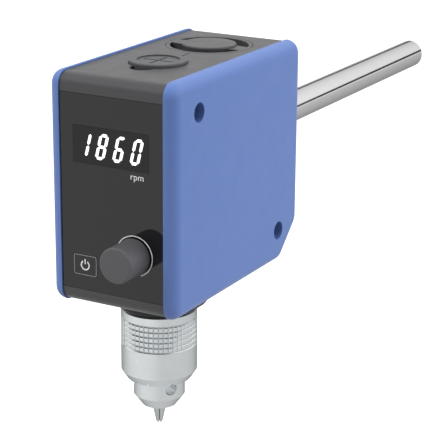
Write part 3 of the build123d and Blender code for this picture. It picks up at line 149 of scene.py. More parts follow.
@dataclass(frozen=True)
class Finish:
    """What every finish has: its name, its colour and how rough it is."""

    name: str
    colour: str
    roughness: float

    def material(self) -> bpy.types.Material:
        """Returns the finish's material, made on its first use."""
        known = bpy.data.materials.get(self.name)
        if known:
            return known
        material = bpy.data.materials.new(self.name)
        material.use_nodes = True
        tree = material.node_tree
        tree.nodes.clear()
        output = add_node(tree, "ShaderNodeOutputMaterial")
        coordinates = add_node(tree, "ShaderNodeTexCoord").outputs["Object"]
        shader = self.shader(tree, coordinates)
        tree.links.new(shader.outputs[0], output.inputs["Surface"])
        return material

    def shader(self, tree: bpy.types.NodeTree, coordinates: bpy.types.NodeSocket) -> bpy.types.Node:
        """Builds the finish's shader; each kind of finish has its own.

        Args:
            tree: The material's node tree.
            coordinates: The object coordinates.

        Returns:
            The shader node.
        """
        raise NotImplementedError


def varied_roughness(
    tree: bpy.types.NodeTree, coordinates: bpy.types.NodeSocket, middle: float, spread: float, patch_mm: float
) -> bpy.types.NodeSocket:
    """Adds a slow change of roughness, as handling leaves it.

    Args:
        tree: The material's node tree.
        coordinates: The object coordinates.
        middle: The roughness in the middle of its range.
        spread: How far it goes to each side.
        patch_mm: The size of a patch.

    Returns:
        The socket that gives the roughness.
    """
    patches = add_node(tree, "ShaderNodeTexNoise", {"Scale": per_metre(patch_mm), "Detail": 3.0},
                       {"Vector": coordinates})
    ranged = add_node(tree, "ShaderNodeMapRange", {
        "From Min": NOISE_LOW, "From Max": NOISE_HIGH, "To Min": middle - spread, "To Max": middle + spread,
    }, {"Value": patches.outputs[0]})
    return ranged.outputs[0]


@dataclass(frozen=True)
class MouldedPlastic(Finish):
    """Injection-moulded plastic: a spark-eroded mould gives it a fine pebbled grain and a satin look."""

    cloud: str = "#808080"
    grain_mm: float = 0.55
    grain_height_mm: float = 0.012
    cloud_mm: float = 40.0
    spread: float = 0.04
    patch_mm: float = 10.0

    def shader(self, tree: bpy.types.NodeTree, coordinates: bpy.types.NodeSocket) -> bpy.types.Node:
        """Builds the pebbled, faintly clouded plastic; see the base class."""
        clouds = add_node(tree, "ShaderNodeTexNoise", {"Scale": per_metre(self.cloud_mm), "Detail": 2.0},
                          {"Vector": coordinates})
        tint = add_node(tree, "ShaderNodeMix",
                        {"data_type": "RGBA", 6: linear(self.colour), 7: linear(self.cloud)},
                        {0: clouds.outputs[0]})
        grain = add_node(tree, "ShaderNodeTexNoise",
                         {"Scale": per_metre(self.grain_mm), "Detail": 2.0, "Roughness": 0.55},
                         {"Vector": coordinates})
        bump = add_node(tree, "ShaderNodeBump", {"Distance": self.grain_height_mm * MM, "Strength": 1.0},
                        {"Height": grain.outputs[0]})
        return add_node(tree, "ShaderNodeBsdfPrincipled", {"IOR": 1.5}, {
            "Base Color": tint.outputs[2],
            "Roughness": varied_roughness(tree, coordinates, self.roughness, self.spread, self.patch_mm),
            "Normal": bump.outputs[0],
        })


@dataclass(frozen=True)
class GlossPlastic(Finish):
    """Polished acrylic or polyester foil: a mirror-like face over a near-black body, with faint waves."""

    wave_mm: float = 14.0
    wave_height_mm: float = 0.002
    patch_mm: float = 6.0
    ior: float = 1.5

    def shader(self, tree: bpy.types.NodeTree, coordinates: bpy.types.NodeSocket) -> bpy.types.Node:
        """Builds the glossy face with its slow waves; see the base class."""
        waves = add_node(tree, "ShaderNodeTexNoise", {"Scale": per_metre(self.wave_mm), "Detail": 1.0},
                         {"Vector": coordinates})
        bump = add_node(tree, "ShaderNodeBump", {"Distance": self.wave_height_mm * MM, "Strength": 1.0},
                        {"Height": waves.outputs[0]})
        return add_node(tree, "ShaderNodeBsdfPrincipled",
                        {"Base Color": linear(self.colour), "IOR": self.ior}, {
            "Roughness": varied_roughness(tree, coordinates, self.roughness, self.roughness / 3,
                                          self.patch_mm),
            "Normal": bump.outputs[0],
        })


@dataclass(frozen=True)
class PrintedInk(Finish):
    """Screen-printed ink: flat, opaque and slightly uneven in its cover."""

    thin: str = "#808080"
    cover_mm: float = 0.6

    def shader(self, tree: bpy.types.NodeTree, coordinates: bpy.types.NodeSocket) -> bpy.types.Node:
        """Builds the ink with its uneven cover; see the base class."""
        cover = add_node(tree, "ShaderNodeTexNoise", {"Scale": per_metre(self.cover_mm), "Detail": 2.0},
                         {"Vector": coordinates})
        ink = add_node(tree, "ShaderNodeMix",
                       {"data_type": "RGBA", 6: linear(self.colour), 7: linear(self.thin)},
                       {0: cover.outputs[0]})
        return add_node(tree, "ShaderNodeBsdfPrincipled", {"Roughness": self.roughness},
                        {"Base Color": ink.outputs[2]})


@dataclass(frozen=True)
class LitSegment(Finish):
    """A display segment with a lamp behind it: even white light through a diffusing film."""

    glow: float = 0.9
    film: str = "#eef2f4"
    film_mm: float = 3.0

    def shader(self, tree: bpy.types.NodeTree, coordinates: bpy.types.NodeSocket) -> bpy.types.Node:
        """Builds the lit film, its tone varying a little at random; see the base class."""
        film = add_node(tree, "ShaderNodeTexNoise", {"Scale": per_metre(self.film_mm), "Detail": 1.0},
                        {"Vector": coordinates})
        tone = add_node(tree, "ShaderNodeMix",
                        {"data_type": "RGBA", 6: linear(self.colour), 7: linear(self.film)},
                        {0: film.outputs[0]})
        return add_node(tree, "ShaderNodeBsdfPrincipled",
                        {"Roughness": self.roughness, "Emission Strength": self.glow},
                        {"Base Color": tone.outputs[2], "Emission Color": tone.outputs[2]})


@dataclass(frozen=True)
class WorkedMetal(Finish):
    """Turned or ground metal: the tool leaves fine rings about the axis that the piece was worked on."""

    axis: Axis = Axis.Z
    ring_mm: float = 0.35
    ring_height_mm: float = 0.002
    stain: str = "#808080"
    edge: str = "#b4b4b4"
    spread: float = 0.06
    stain_mm: float = 9.0
    patch_mm: float = 5.0

    def shader(self, tree: bpy.types.NodeTree, coordinates: bpy.types.NodeSocket) -> bpy.types.Node:
        """Builds the metal with its tool rings; see the base class."""
        split = add_node(tree, "ShaderNodeSeparateXYZ", {}, {0: coordinates})
        along = split.outputs[self.axis.value]
        rings = add_node(tree, "ShaderNodeTexNoise",
                         {"noise_dimensions": "1D", "Scale": per_metre(self.ring_mm), "Detail": 3.0},
                         {"W": along})
        bump = add_node(tree, "ShaderNodeBump", {"Distance": self.ring_height_mm * MM, "Strength": 1.0},
                        {"Height": rings.outputs[0]})
        handling = add_node(tree, "ShaderNodeTexNoise", {"Scale": per_metre(self.stain_mm), "Detail": 4.0},
                            {"Vector": coordinates})
        tone = add_node(tree, "ShaderNodeMix",
                        {"data_type": "RGBA", 6: linear(self.colour), 7: linear(self.stain)},
                        {0: handling.outputs[0]})
        return add_node(tree, "ShaderNodeBsdfPrincipled",
                        {"Metallic": 1.0, "Specular Tint": linear(self.edge)}, {
            "Base Color": tone.outputs[2],
            "Roughness": varied_roughness(tree, coordinates, self.roughness, self.spread, self.patch_mm),
            "Normal": bump.outputs[0],
        })


@dataclass(frozen=True)
class CastMetal(Finish):
    """Die-cast or drawn metal: an even skin with small pits and a cloudy sheen."""

    pit_mm: float = 0.8
    pit_depth_mm: float = 0.03
    metallic: float = 1.0
    spread: float = 0.08
    patch_mm: float = 7.0

    def shader(self, tree: bpy.types.NodeTree, coordinates: bpy.types.NodeSocket) -> bpy.types.Node:
        """Builds the pitted skin; see the base class."""
        pits = add_node(tree, "ShaderNodeTexVoronoi",
                        {"Scale": per_metre(self.pit_mm)}, {"Vector": coordinates})
        bump = add_node(tree, "ShaderNodeBump", {"Distance": self.pit_depth_mm * MM, "Strength": 0.6},
                        {"Height": pits.outputs[0]})
        return add_node(tree, "ShaderNodeBsdfPrincipled",
                        {"Base Color": linear(self.colour), "Metallic": self.metallic}, {
                            "Roughness": varied_roughness(tree, coordinates, self.roughness, self.spread,
                                                          self.patch_mm),
                            "Normal": bump.outputs[0],
                        })


@dataclass(frozen=True)
class LaminatedIron(Finish):
    """Stacked electrical sheet: half-millimetre sheets with dark varnish between them."""

    sheet_mm: float = 0.5
    varnish: str = "#2a2724"
    spread: float = 0.08
    patch_mm: float = 4.0

    def shader(self, tree: bpy.types.NodeTree, coordinates: bpy.types.NodeSocket) -> bpy.types.Node:
        """Builds the stack's stripes; see the base class."""
        stripes = add_node(tree, "ShaderNodeTexWave", {
            "bands_direction": "Z", "Scale": per_metre(self.sheet_mm) / math.tau, "Distortion": 0.0,
        }, {"Vector": coordinates})
        tone = add_node(tree, "ShaderNodeMix",
                        {"data_type": "RGBA", 6: linear(self.varnish), 7: linear(self.colour)},
                        {0: stripes.outputs[1]})
        return add_node(tree, "ShaderNodeBsdfPrincipled", {"Metallic": 0.7}, {
            "Base Color": tone.outputs[2],
            "Roughness": varied_roughness(tree, coordinates, self.roughness, self.spread, self.patch_mm),
        })


@dataclass(frozen=True)
class CircuitLaminate(Finish):
    """Glass-fibre board under green solder resist: copper tracks show through as lighter lines."""

    track: str = "#3c8a55"
    track_mm: float = 1.3
    tracks_in_cell: float = 4.0
    fold: float = 0.12
    line_low: float = 0.05
    line_high: float = 0.07

    def shader(self, tree: bpy.types.NodeTree, coordinates: bpy.types.NodeSocket) -> bpy.types.Node:
        """Builds the resist over its tracks; see the base class."""
        cells = add_node(tree, "ShaderNodeTexVoronoi", {
            "distance": "MANHATTAN", "feature": "F1", "Scale": per_metre(self.track_mm * self.tracks_in_cell),
        }, {"Vector": coordinates})
        lines = add_node(tree, "ShaderNodeMath",
                         {"operation": "PINGPONG", 1: self.fold}, {0: cells.outputs[0]})
        edge = add_node(tree, "ShaderNodeMapRange",
                        {"From Min": self.line_low, "From Max": self.line_high}, {"Value": lines.outputs[0]})
        tone = add_node(tree, "ShaderNodeMix",
                        {"data_type": "RGBA", 6: linear(self.colour), 7: linear(self.track)},
                        {0: edge.outputs[0]})
        return add_node(tree, "ShaderNodeBsdfPrincipled", {"Roughness": self.roughness},
                        {"Base Color": tone.outputs[2]})


@dataclass(frozen=True)
class PressedFibre(Finish):
    """Felt or rubberised fabric: short fibres give a dull, uneven, light-catching surface."""

    fibre_mm: float = 0.3
    fibre_height_mm: float = 0.15

    def shader(self, tree: bpy.types.NodeTree, coordinates: bpy.types.NodeSocket) -> bpy.types.Node:
        """Builds the fibrous surface; see the base class."""
        fibres = add_node(tree, "ShaderNodeTexNoise",
                          {"Scale": per_metre(self.fibre_mm), "Detail": 4.0, "Distortion": 1.5},
                          {"Vector": coordinates})
        bump = add_node(tree, "ShaderNodeBump", {"Distance": self.fibre_height_mm * MM, "Strength": 0.8},
                        {"Height": fibres.outputs[0]})
        return add_node(tree, "ShaderNodeBsdfPrincipled",
                        {"Base Color": linear(self.colour), "Sheen Weight": 0.2, "Roughness": self.roughness},
                        {"Normal": bump.outputs[0]})


# Blue ABS covers, satin with a fine grain
COVER_BLUE = MouldedPlastic("blue_abs_satin_moulded", "#5671ac", 0.42, cloud="#526da8")
# Dark grey ABS of the ring between the covers
SHELL_GREY = MouldedPlastic("grey_abs_satin_moulded", "#3b3b3d", 0.36, cloud="#38383a", grain_mm=0.6)
# The soft cap is a little lighter and duller than the shell
CAP_GREY = MouldedPlastic("grey_soft_pvc_moulded", "#444547", 0.45, cloud="#404143", grain_mm=0.8)
# The knob's face and skirt
KNOB_BLACK = MouldedPlastic("black_nylon_moulded", "#4f4f52", 0.5, cloud="#4b4b4e", grain_mm=0.4)
# Inner mouldings: switch, encoder and display cases
CASE_BLACK = MouldedPlastic("black_pbt_moulded", "#262729", 0.45, cloud="#222325", grain_mm=0.9)
# Glossy polyester foil, printed black on its back
FOIL_BLACK = GlossPlastic("black_polyester_foil", "#131315", 0.05)
# Smoked acrylic in front of the digits
WINDOW_SMOKE = GlossPlastic("smoked_acrylic_window", "#08080a", 0.04, ior=1.42)
# The hub and the inlet are gloss-moulded
HUB_BLACK = GlossPlastic("black_abs_gloss_moulded", "#09090a", 0.16, wave_mm=5.0, ior=1.42)
# White ink on the foil, matt and a little thin in places
INK_WHITE = PrintedInk("white_screen_ink", "#e8e8e8", 0.4, thin="#d2d2d2")
# The key's frame is printed in a weaker grey
INK_GREY = PrintedInk("grey_screen_ink", "#8d8d8d", 0.4, thin="#7c7c7c")
# Lit bars of the figures, even and white
DIGIT_WHITE = LitSegment("white_lit_segment", "#ffffff", 0.3)
# Stand rod, drawn and centreless ground stainless steel
ROD_STEEL = WorkedMetal("stainless_steel_ground", "#dedede", 0.09, axis=Axis.Y, ring_mm=0.5,
                        ring_height_mm=0.0004, stain="#d6d6d7", spread=0.03)
# Chuck body and sleeve, satin chromed after turning
CHUCK_CHROME = WorkedMetal("satin_chromed_steel", "#dfe3e4", 0.24, ring_mm=0.4, stain="#d3d8da")
# The jaws, hardened and ground, are darker than the chromed body
JAW_STEEL = WorkedMetal("hardened_steel_ground", "#c9cdce", 0.26, ring_mm=0.3, stain="#b9bdbe")
# Races, balls and shafts, lapped to a mirror
BEARING_STEEL = WorkedMetal("bearing_steel_polished", "#d4d6d8", 0.14, ring_mm=0.25, stain="#c8cacc")
# Screws and washers, dull grey zinc over turned steel
SCREW_ZINC = WorkedMetal("zinc_plated_steel", "#a5a6a8", 0.32, axis=Axis.X, ring_mm=0.5, stain="#8f9092")
# Nuts of the encoder and the inlet, warm nickel over turned brass
NICKEL_BRASS = WorkedMetal("nickel_plated_brass", "#cfcabc", 0.24, axis=Axis.Y, ring_mm=0.4, stain="#bdb7a6")
# The cast frame and the motor's plate, pitted and cloudy
FRAME_ALLOY = CastMetal("aluminium_die_cast", "#b4b6b8", 0.5)
# The pulleys, turned, with fine rings
PULLEY_ALLOY = WorkedMetal("aluminium_turned", "#c8cacc", 0.3, ring_mm=0.35, stain="#bcbec0")
# The motor's drawn can, plated black
MOTOR_SKIN = CastMetal("black_zinc_drawn_steel", "#2c2c2e", 0.4, pit_mm=1.5, pit_depth_mm=0.01)
# The motor's sheet stacks, striped by their varnish
CORE_IRON = LaminatedIron("electrical_sheet_stack", "#6d6b68", 0.5)
# The control board, its tracks pale under green resist
BOARD_GREEN = CircuitLaminate("glass_fibre_board_green", "#1d5a36", 0.35)
# The drive belt, dull black
BELT_RUBBER = PressedFibre("rubber_flat_belt", "#151515", 0.8, fibre_mm=0.7, fibre_height_mm=0.05)
# The spindle's felt ring, soft grey fibres
SEAL_FELT = PressedFibre("wool_felt", "#4a4a4a", 0.95)


def dress(nodes: dict[str, bpy.types.Object], names: Iterable[str], finish: Finish) -> None:
    """Gives CAD nodes a finish through their material slots.

    Args:
        nodes: The CAD nodes by name.
        names: The nodes to dress.
        finish: Their finish.
    """
    for name in names:
        node = nodes[name]
        if not node.material_slots:
            node.data.materials.append(finish.material())
        for slot in node.material_slots:
            slot.material = finish.material()


def add_piece(name: str, mesh: bmesh.types.BMesh, finish: Finish, body: str) -> bpy.types.Object:
    """Turns a finished bmesh into a piece that rides on a body.

    Args:
        name: The piece's name.
        mesh: The bmesh in metres in the CAD's frame; it is freed here.
        finish: The piece's finish.
        body: The CAD body that it moves with.

    Returns:
        The piece.
    """
    data = bpy.data.meshes.new(name)
    bmesh.ops.recalc_face_normals(mesh, faces=mesh.faces)
    mesh.to_mesh(data)
    mesh.free()
    data.materials.append(finish.material())
    piece = bpy.data.objects.new(name, data)
    bpy.context.scene.collection.objects.link(piece)
    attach(piece, body)
    LOG.info("%s: %d faces", name, len(data.polygons))
    return piece


def panel_matrix(x_mm: float, z_mm: float, face_y_mm: float) -> Matrix:
    """Returns the matrix that stands a flat drawing in millimetres on the front panel.

    Args:
        x_mm: Where the drawing's origin goes across the panel.
        z_mm: Where it goes up the panel.
        face_y_mm: The depth of the face that carries it.

    Returns:
        The matrix from the drawing to metres in the CAD's frame; the drawing's front faces -Y.
    """
    place = Matrix.Translation(Vector((x_mm, face_y_mm, z_mm)) * MM)
    return place @ Matrix.Rotation(math.radians(90), 4, "X") @ Matrix.Scale(MM, 4)


def thicken(mesh: bmesh.types.BMesh, height: float) -> None:
    """Raises a flat drawing's faces by a height, leaving closed walls.

    Args:
        mesh: The flat drawing.
        height: How far its front rises along +Z of the drawing.
    """
    raised = bmesh.ops.extrude_face_region(mesh, geom=mesh.faces[:], use_keep_orig=True)["geom"]
    verts = [item for item in raised if isinstance(item, bmesh.types.BMVert)]
    bmesh.ops.translate(mesh, verts=verts, vec=(0, 0, height))


def arc_band(mesh: bmesh.types.BMesh, radius: float, width: float, start: float, sweep: float) -> None:
    """Spins a short line about the drawing's origin into a flat band.

    Args:
        mesh: The drawing that takes the band.
        radius: The band's middle radius.
        width: The band's width.
        start: The angle where it starts, in degrees from +X.
        sweep: How far it goes anticlockwise, in degrees.
    """
    turn = math.radians(start)
    ends = [mesh.verts.new((r * math.cos(turn), r * math.sin(turn), 0))
            for r in (radius - width / 2, radius + width / 2)]
    line = mesh.edges.new(ends)
    steps = max(ARC_FEWEST_STEPS, round(sweep / ARC_STEP))
    bmesh.ops.spin(mesh, geom=[*ends, line], cent=(0, 0, 0), axis=(0, 0, 1), angle=math.radians(sweep),
                   steps=steps, use_merge=sweep >= 360)


def flat_bar(mesh: bmesh.types.BMesh, centre: tuple[float, float], size: tuple[float, float]) -> None:
    """Adds a flat rectangle to a drawing.

    Args:
        mesh: The drawing.
        centre: The rectangle's centre.
        size: Its width and height.
    """
    matrix = Matrix.Translation((*centre, 0)) @ Matrix.Diagonal((size[0], size[1], 1, 1))
    bmesh.ops.create_grid(mesh, x_segments=1, y_segments=1, size=0.5, matrix=matrix)


@dataclass
class Housing:
    """The moulded ring, its two blue covers and the screws that hold them."""

    nodes: dict[str, bpy.types.Object]
    covers: tuple[str, ...] = ("left_cover", "right_cover")
    inner_cases: tuple[str, ...] = ("encoder_body", "power_switch", "display_module")

    def build(self) -> None:
        """Dresses the housing's CAD nodes."""
        dress(self.nodes, self.covers, COVER_BLUE)
        dress(self.nodes, ("center_shell",), SHELL_GREY)
        dress(self.nodes, self.inner_cases, CASE_BLACK)
        dress(self.nodes, ("cover_screws", "frame_screws", "board_screws"), SCREW_ZINC)
        dress(self.nodes, ("control_board",), BOARD_GREEN)
        LOG.info("housing dressed")


@dataclass
class SpeedDisplay:
    """The window with its lit seven-segment figures and the unit printed under it."""

    nodes: dict[str, bpy.types.Object]
    face_y: float = FOIL_FACE_Y
    relief: float = 0.04
    figures: str = "1860"
    first_left: float = -17.55
    pitch: float = 8.95
    bottom: float = 11.4
    height: float = 12.1
    width: float = 5.0
    stroke: float = 1.5
    gap: float = 0.16
    slant: float = 14.0
    unit: str = "rpm"
    unit_left: float = 10.1
    unit_right: float = 16.7
    unit_baseline: float = 4.8
    lit: dict[str, str] = field(default_factory=lambda: {
        "0": "abcdef", "1": "bc", "6": "acdefg", "8": "abcdefg",
    })

    def segment_line(self, segment: str) -> tuple[Vector, Vector]:
        """Gives the middle line of a segment in its upright cell.

        Args:
            segment: The segment's letter, from a at the top round to f, and g in the middle.

        Returns:
            The line's two ends.
        """
        low = self.stroke / 2
        left, right = low, self.width - low
        top, middle = self.height - low, self.height / 2
        corners = {
            "a": ((left, top), (right, top)), "b": ((right, middle), (right, top)),
            "c": ((right, low), (right, middle)), "d": ((left, low), (right, low)),
            "e": ((left, low), (left, middle)), "f": ((left, middle), (left, top)),
            "g": ((left, middle), (right, middle)),
        }
        return Vector(corners[segment][0]), Vector(corners[segment][1])

    def add_segment(self, drawing: bmesh.types.BMesh, segment: str) -> None:
        """Adds one pointed bar to a figure.

        Args:
            drawing: The figure's drawing.
            segment: The segment's letter.
        """
        start, end = self.segment_line(segment)
        run = (end - start).normalized()
        side = Vector((-run.y, run.x)) * (self.stroke / 2 - self.gap / 4)
        start, end = start + run * self.gap, end - run * self.gap
        tip = run * (self.stroke / 2 - self.gap / 2)
        outline = [start, start + tip - side, end - tip - side, end, end - tip + side, start + tip + side]
        drawing.faces.new([drawing.verts.new((point.x, point.y, 0)) for point in outline])

    def build_figures(self) -> None:
        """Builds each figure as one piece of lit bars."""
        lean = Matrix.Identity(4)
        lean[0][1] = math.tan(math.radians(self.slant))
        for place, figure in enumerate(self.figures):
            drawing = bmesh.new()
            for segment in self.lit[figure]:
                self.add_segment(drawing, segment)
            thicken(drawing, self.relief)
            left = self.first_left + place * self.pitch
            matrix = panel_matrix(left, self.bottom, self.face_y) @ lean
            bmesh.ops.transform(drawing, matrix=matrix, verts=drawing.verts)
            add_piece(f"lit_figure_{place + 1}", drawing, DIGIT_WHITE, "housing")

    def build_unit(self) -> None:
        """Builds the small printed unit under the window."""
        curve = bpy.data.curves.new("unit_text", "FONT")
        curve.body = self.unit
        carrier = bpy.data.objects.new("unit_text", curve)
        mesh = bpy.data.meshes.new_from_object(carrier)
        drawing = bmesh.new()
        drawing.from_mesh(mesh)
        bpy.data.objects.remove(carrier)
        bpy.data.curves.remove(curve)
        bpy.data.meshes.remove(mesh)
        bmesh.ops.remove_doubles(drawing, verts=drawing.verts, dist=MERGE_DISTANCE)
        reach = [vert.co.x for vert in drawing.verts]
        scale = (self.unit_right - self.unit_left) / (max(reach) - min(reach))
        place = Matrix.Scale(scale, 4) @ Matrix.Translation((-min(reach), 0, 0))
        bmesh.ops.transform(drawing, matrix=place, verts=drawing.verts)
        thicken(drawing, self.relief)
        matrix = panel_matrix(self.unit_left, self.unit_baseline, self.face_y)
        bmesh.ops.transform(drawing, matrix=matrix, verts=drawing.verts)
        add_piece("printed_unit", drawing, INK_WHITE, "housing")

    def build(self) -> None:
        """Dresses the window and the foil, and builds the figures and the unit."""
        dress(self.nodes, ("display_window",), WINDOW_SMOKE)
        dress(self.nodes, ("front_foil",), FOIL_BLACK)
        self.build_figures()
        self.build_unit()


@dataclass
class SpeedKnob:
    """The speed knob on its encoder, with the printed arc round it."""

    nodes: dict[str, bpy.types.Object]
    centre: tuple[float, float] = (11.7, -30.3)
    face_y: float = FOIL_FACE_Y
    relief: float = 0.03
    arc_radius: float = 9.3
    arc_width: float = 0.45
    arc_start: float = -69.0
    arc_sweep: float = 318.0

    def build(self) -> None:
        """Dresses the knob and its shaft, and builds the arc."""
        dress(self.nodes, ("control_knob", "switch_plunger"), KNOB_BLACK)
        dress(self.nodes, ("encoder_shaft",), BEARING_STEEL)
        dress(self.nodes, ("encoder_nut", "inlet_nut"), NICKEL_BRASS)
        drawing = bmesh.new()
        arc_band(drawing, self.arc_radius, self.arc_width, self.arc_start, self.arc_sweep)
        thicken(drawing, self.relief)
        bmesh.ops.transform(drawing, matrix=panel_matrix(*self.centre, self.face_y), verts=drawing.verts)
        add_piece("printed_speed_arc", drawing, INK_WHITE, "housing")


@dataclass
class PowerKey:
    """The power key with its printed frame and the usual on-off sign."""

    nodes: dict[str, bpy.types.Object]
    centre: tuple[float, float] = (-14.5, -39.1)
    size: tuple[float, float] = (12.1, 9.6)
    corner: float = 0.9
    corner_steps: int = 5
    line: float = 0.32
    face_y: float = FOIL_FACE_Y
    relief: float = 0.03
    ring_radius: float = 2.1
    ring_width: float = 0.62
    ring_gap: float = 64.0
    bar: tuple[float, float] = (0.6, 2.3)
    bar_top: float = 2.9

    def build_frame(self) -> None:
        """Builds the rounded frame line along the key's edge."""
        drawing = bmesh.new()
        flat_bar(drawing, (0, 0), self.size)
        bmesh.ops.bevel(drawing, geom=drawing.verts[:], offset=self.corner,
                        segments=self.corner_steps, profile=0.5, affect="VERTICES", material=-1)
        inside = drawing.faces[:]
        bmesh.ops.inset_region(drawing, faces=inside, thickness=self.line, use_even_offset=True,
                               use_boundary=True)
        bmesh.ops.delete(drawing, geom=inside, context="FACES_ONLY")
        thicken(drawing, self.relief)
        bmesh.ops.transform(drawing, matrix=panel_matrix(*self.centre, self.face_y), verts=drawing.verts)
        add_piece("printed_key_frame", drawing, INK_GREY, "power_key")

    def build_sign(self) -> None:
        """Builds the open ring and the bar of the on-off sign."""
        drawing = bmesh.new()
        arc_band(drawing, self.ring_radius, self.ring_width, 90 + self.ring_gap / 2, 360 - self.ring_gap)
        flat_bar(drawing, (0, self.bar_top - self.bar[1] / 2), self.bar)
        thicken(drawing, self.relief)
        bmesh.ops.transform(drawing, matrix=panel_matrix(*self.centre, self.face_y), verts=drawing.verts)
        add_piece("printed_power_sign", drawing, INK_WHITE, "power_key")

    def build(self) -> None:
        """Dresses the key and builds what is printed on it."""
        dress(self.nodes, ("power_key",), FOIL_BLACK)
        self.build_frame()
        self.build_sign()


@dataclass
class DriveTrain:
    """The frame, bearings, belt drive and motor inside the housing."""

    nodes: dict[str, bpy.types.Object]

    def build(self) -> None:
        """Dresses the drive's CAD nodes."""
        races = [f"{level}_{side}_race" for level in ("lower", "upper") for side in ("outer", "inner")]
        dress(self.nodes, ("drive_frame", "motor_plate"), FRAME_ALLOY)
        dress(self.nodes, (*races, "lower_balls", "upper_balls", "spindle", "motor_shaft"), BEARING_STEEL)
        dress(self.nodes, ("retaining_ring", "motor_screws"), SCREW_ZINC)
        dress(self.nodes, ("spindle_pulley", "motor_pulley"), PULLEY_ALLOY)
        dress(self.nodes, ("drive_belt",), BELT_RUBBER)
        dress(self.nodes, ("motor_can",), MOTOR_SKIN)
        dress(self.nodes, ("motor_stator", "motor_rotor"), CORE_IRON)
        LOG.info("drive dressed")


@dataclass
class ChuckEnd:
    """The hub, its felt seal and the keyed chuck."""

    nodes: dict[str, bpy.types.Object]

    def build(self) -> None:
        """Dresses the hub and the chuck."""
        dress(self.nodes, ("spindle_hub",), HUB_BLACK)
        dress(self.nodes, ("shaft_seal",), SEAL_FELT)
        dress(self.nodes, ("chuck_body", "chuck_nut", "chuck_sleeve"), CHUCK_CHROME)
        dress(self.nodes, [f"chuck_jaw_{number}" for number in (1, 2, 3)], JAW_STEEL)
        LOG.info("chuck dressed")


@dataclass
class TopAndRear:
    """The cap and the turn cover on top, and the rod and the inlet at the rear."""

    nodes: dict[str, bpy.types.Object]

    def build(self) -> None:
        """Dresses the top's and the rear's CAD nodes."""
        dress(self.nodes, ("spindle_cap",), CAP_GREY)
        dress(self.nodes, ("turn_cover",), SHELL_GREY)
        dress(self.nodes, ("support_rod",), ROD_STEEL)
        dress(self.nodes, ("rod_washer", "rod_nut"), SCREW_ZINC)
        dress(self.nodes, ("power_inlet",), HUB_BLACK)
        LOG.info("top and rear dressed")


@dataclass(frozen=True)
class Softbox:
    """A rectangular studio light that looks at the housing's middle."""

    name: str
    place: tuple[float, float, float]
    size: tuple[float, float]
    watts: float

    def build(self, target: Vector) -> None:
        """Adds the light.

        Args:
            target: The point that the light looks at.
        """
        light = bpy.data.lights.new(self.name, "AREA")
        light.shape = "RECTANGLE"
        light.size, light.size_y = self.size
        light.energy = self.watts
        lamp = bpy.data.objects.new(self.name, light)
        bpy.context.scene.collection.objects.link(lamp)
        lamp.visible_glossy = False
        lamp.location = self.place
        lamp.rotation_euler = (target - Vector(self.place)).to_track_quat("-Z", "Y").to_euler()


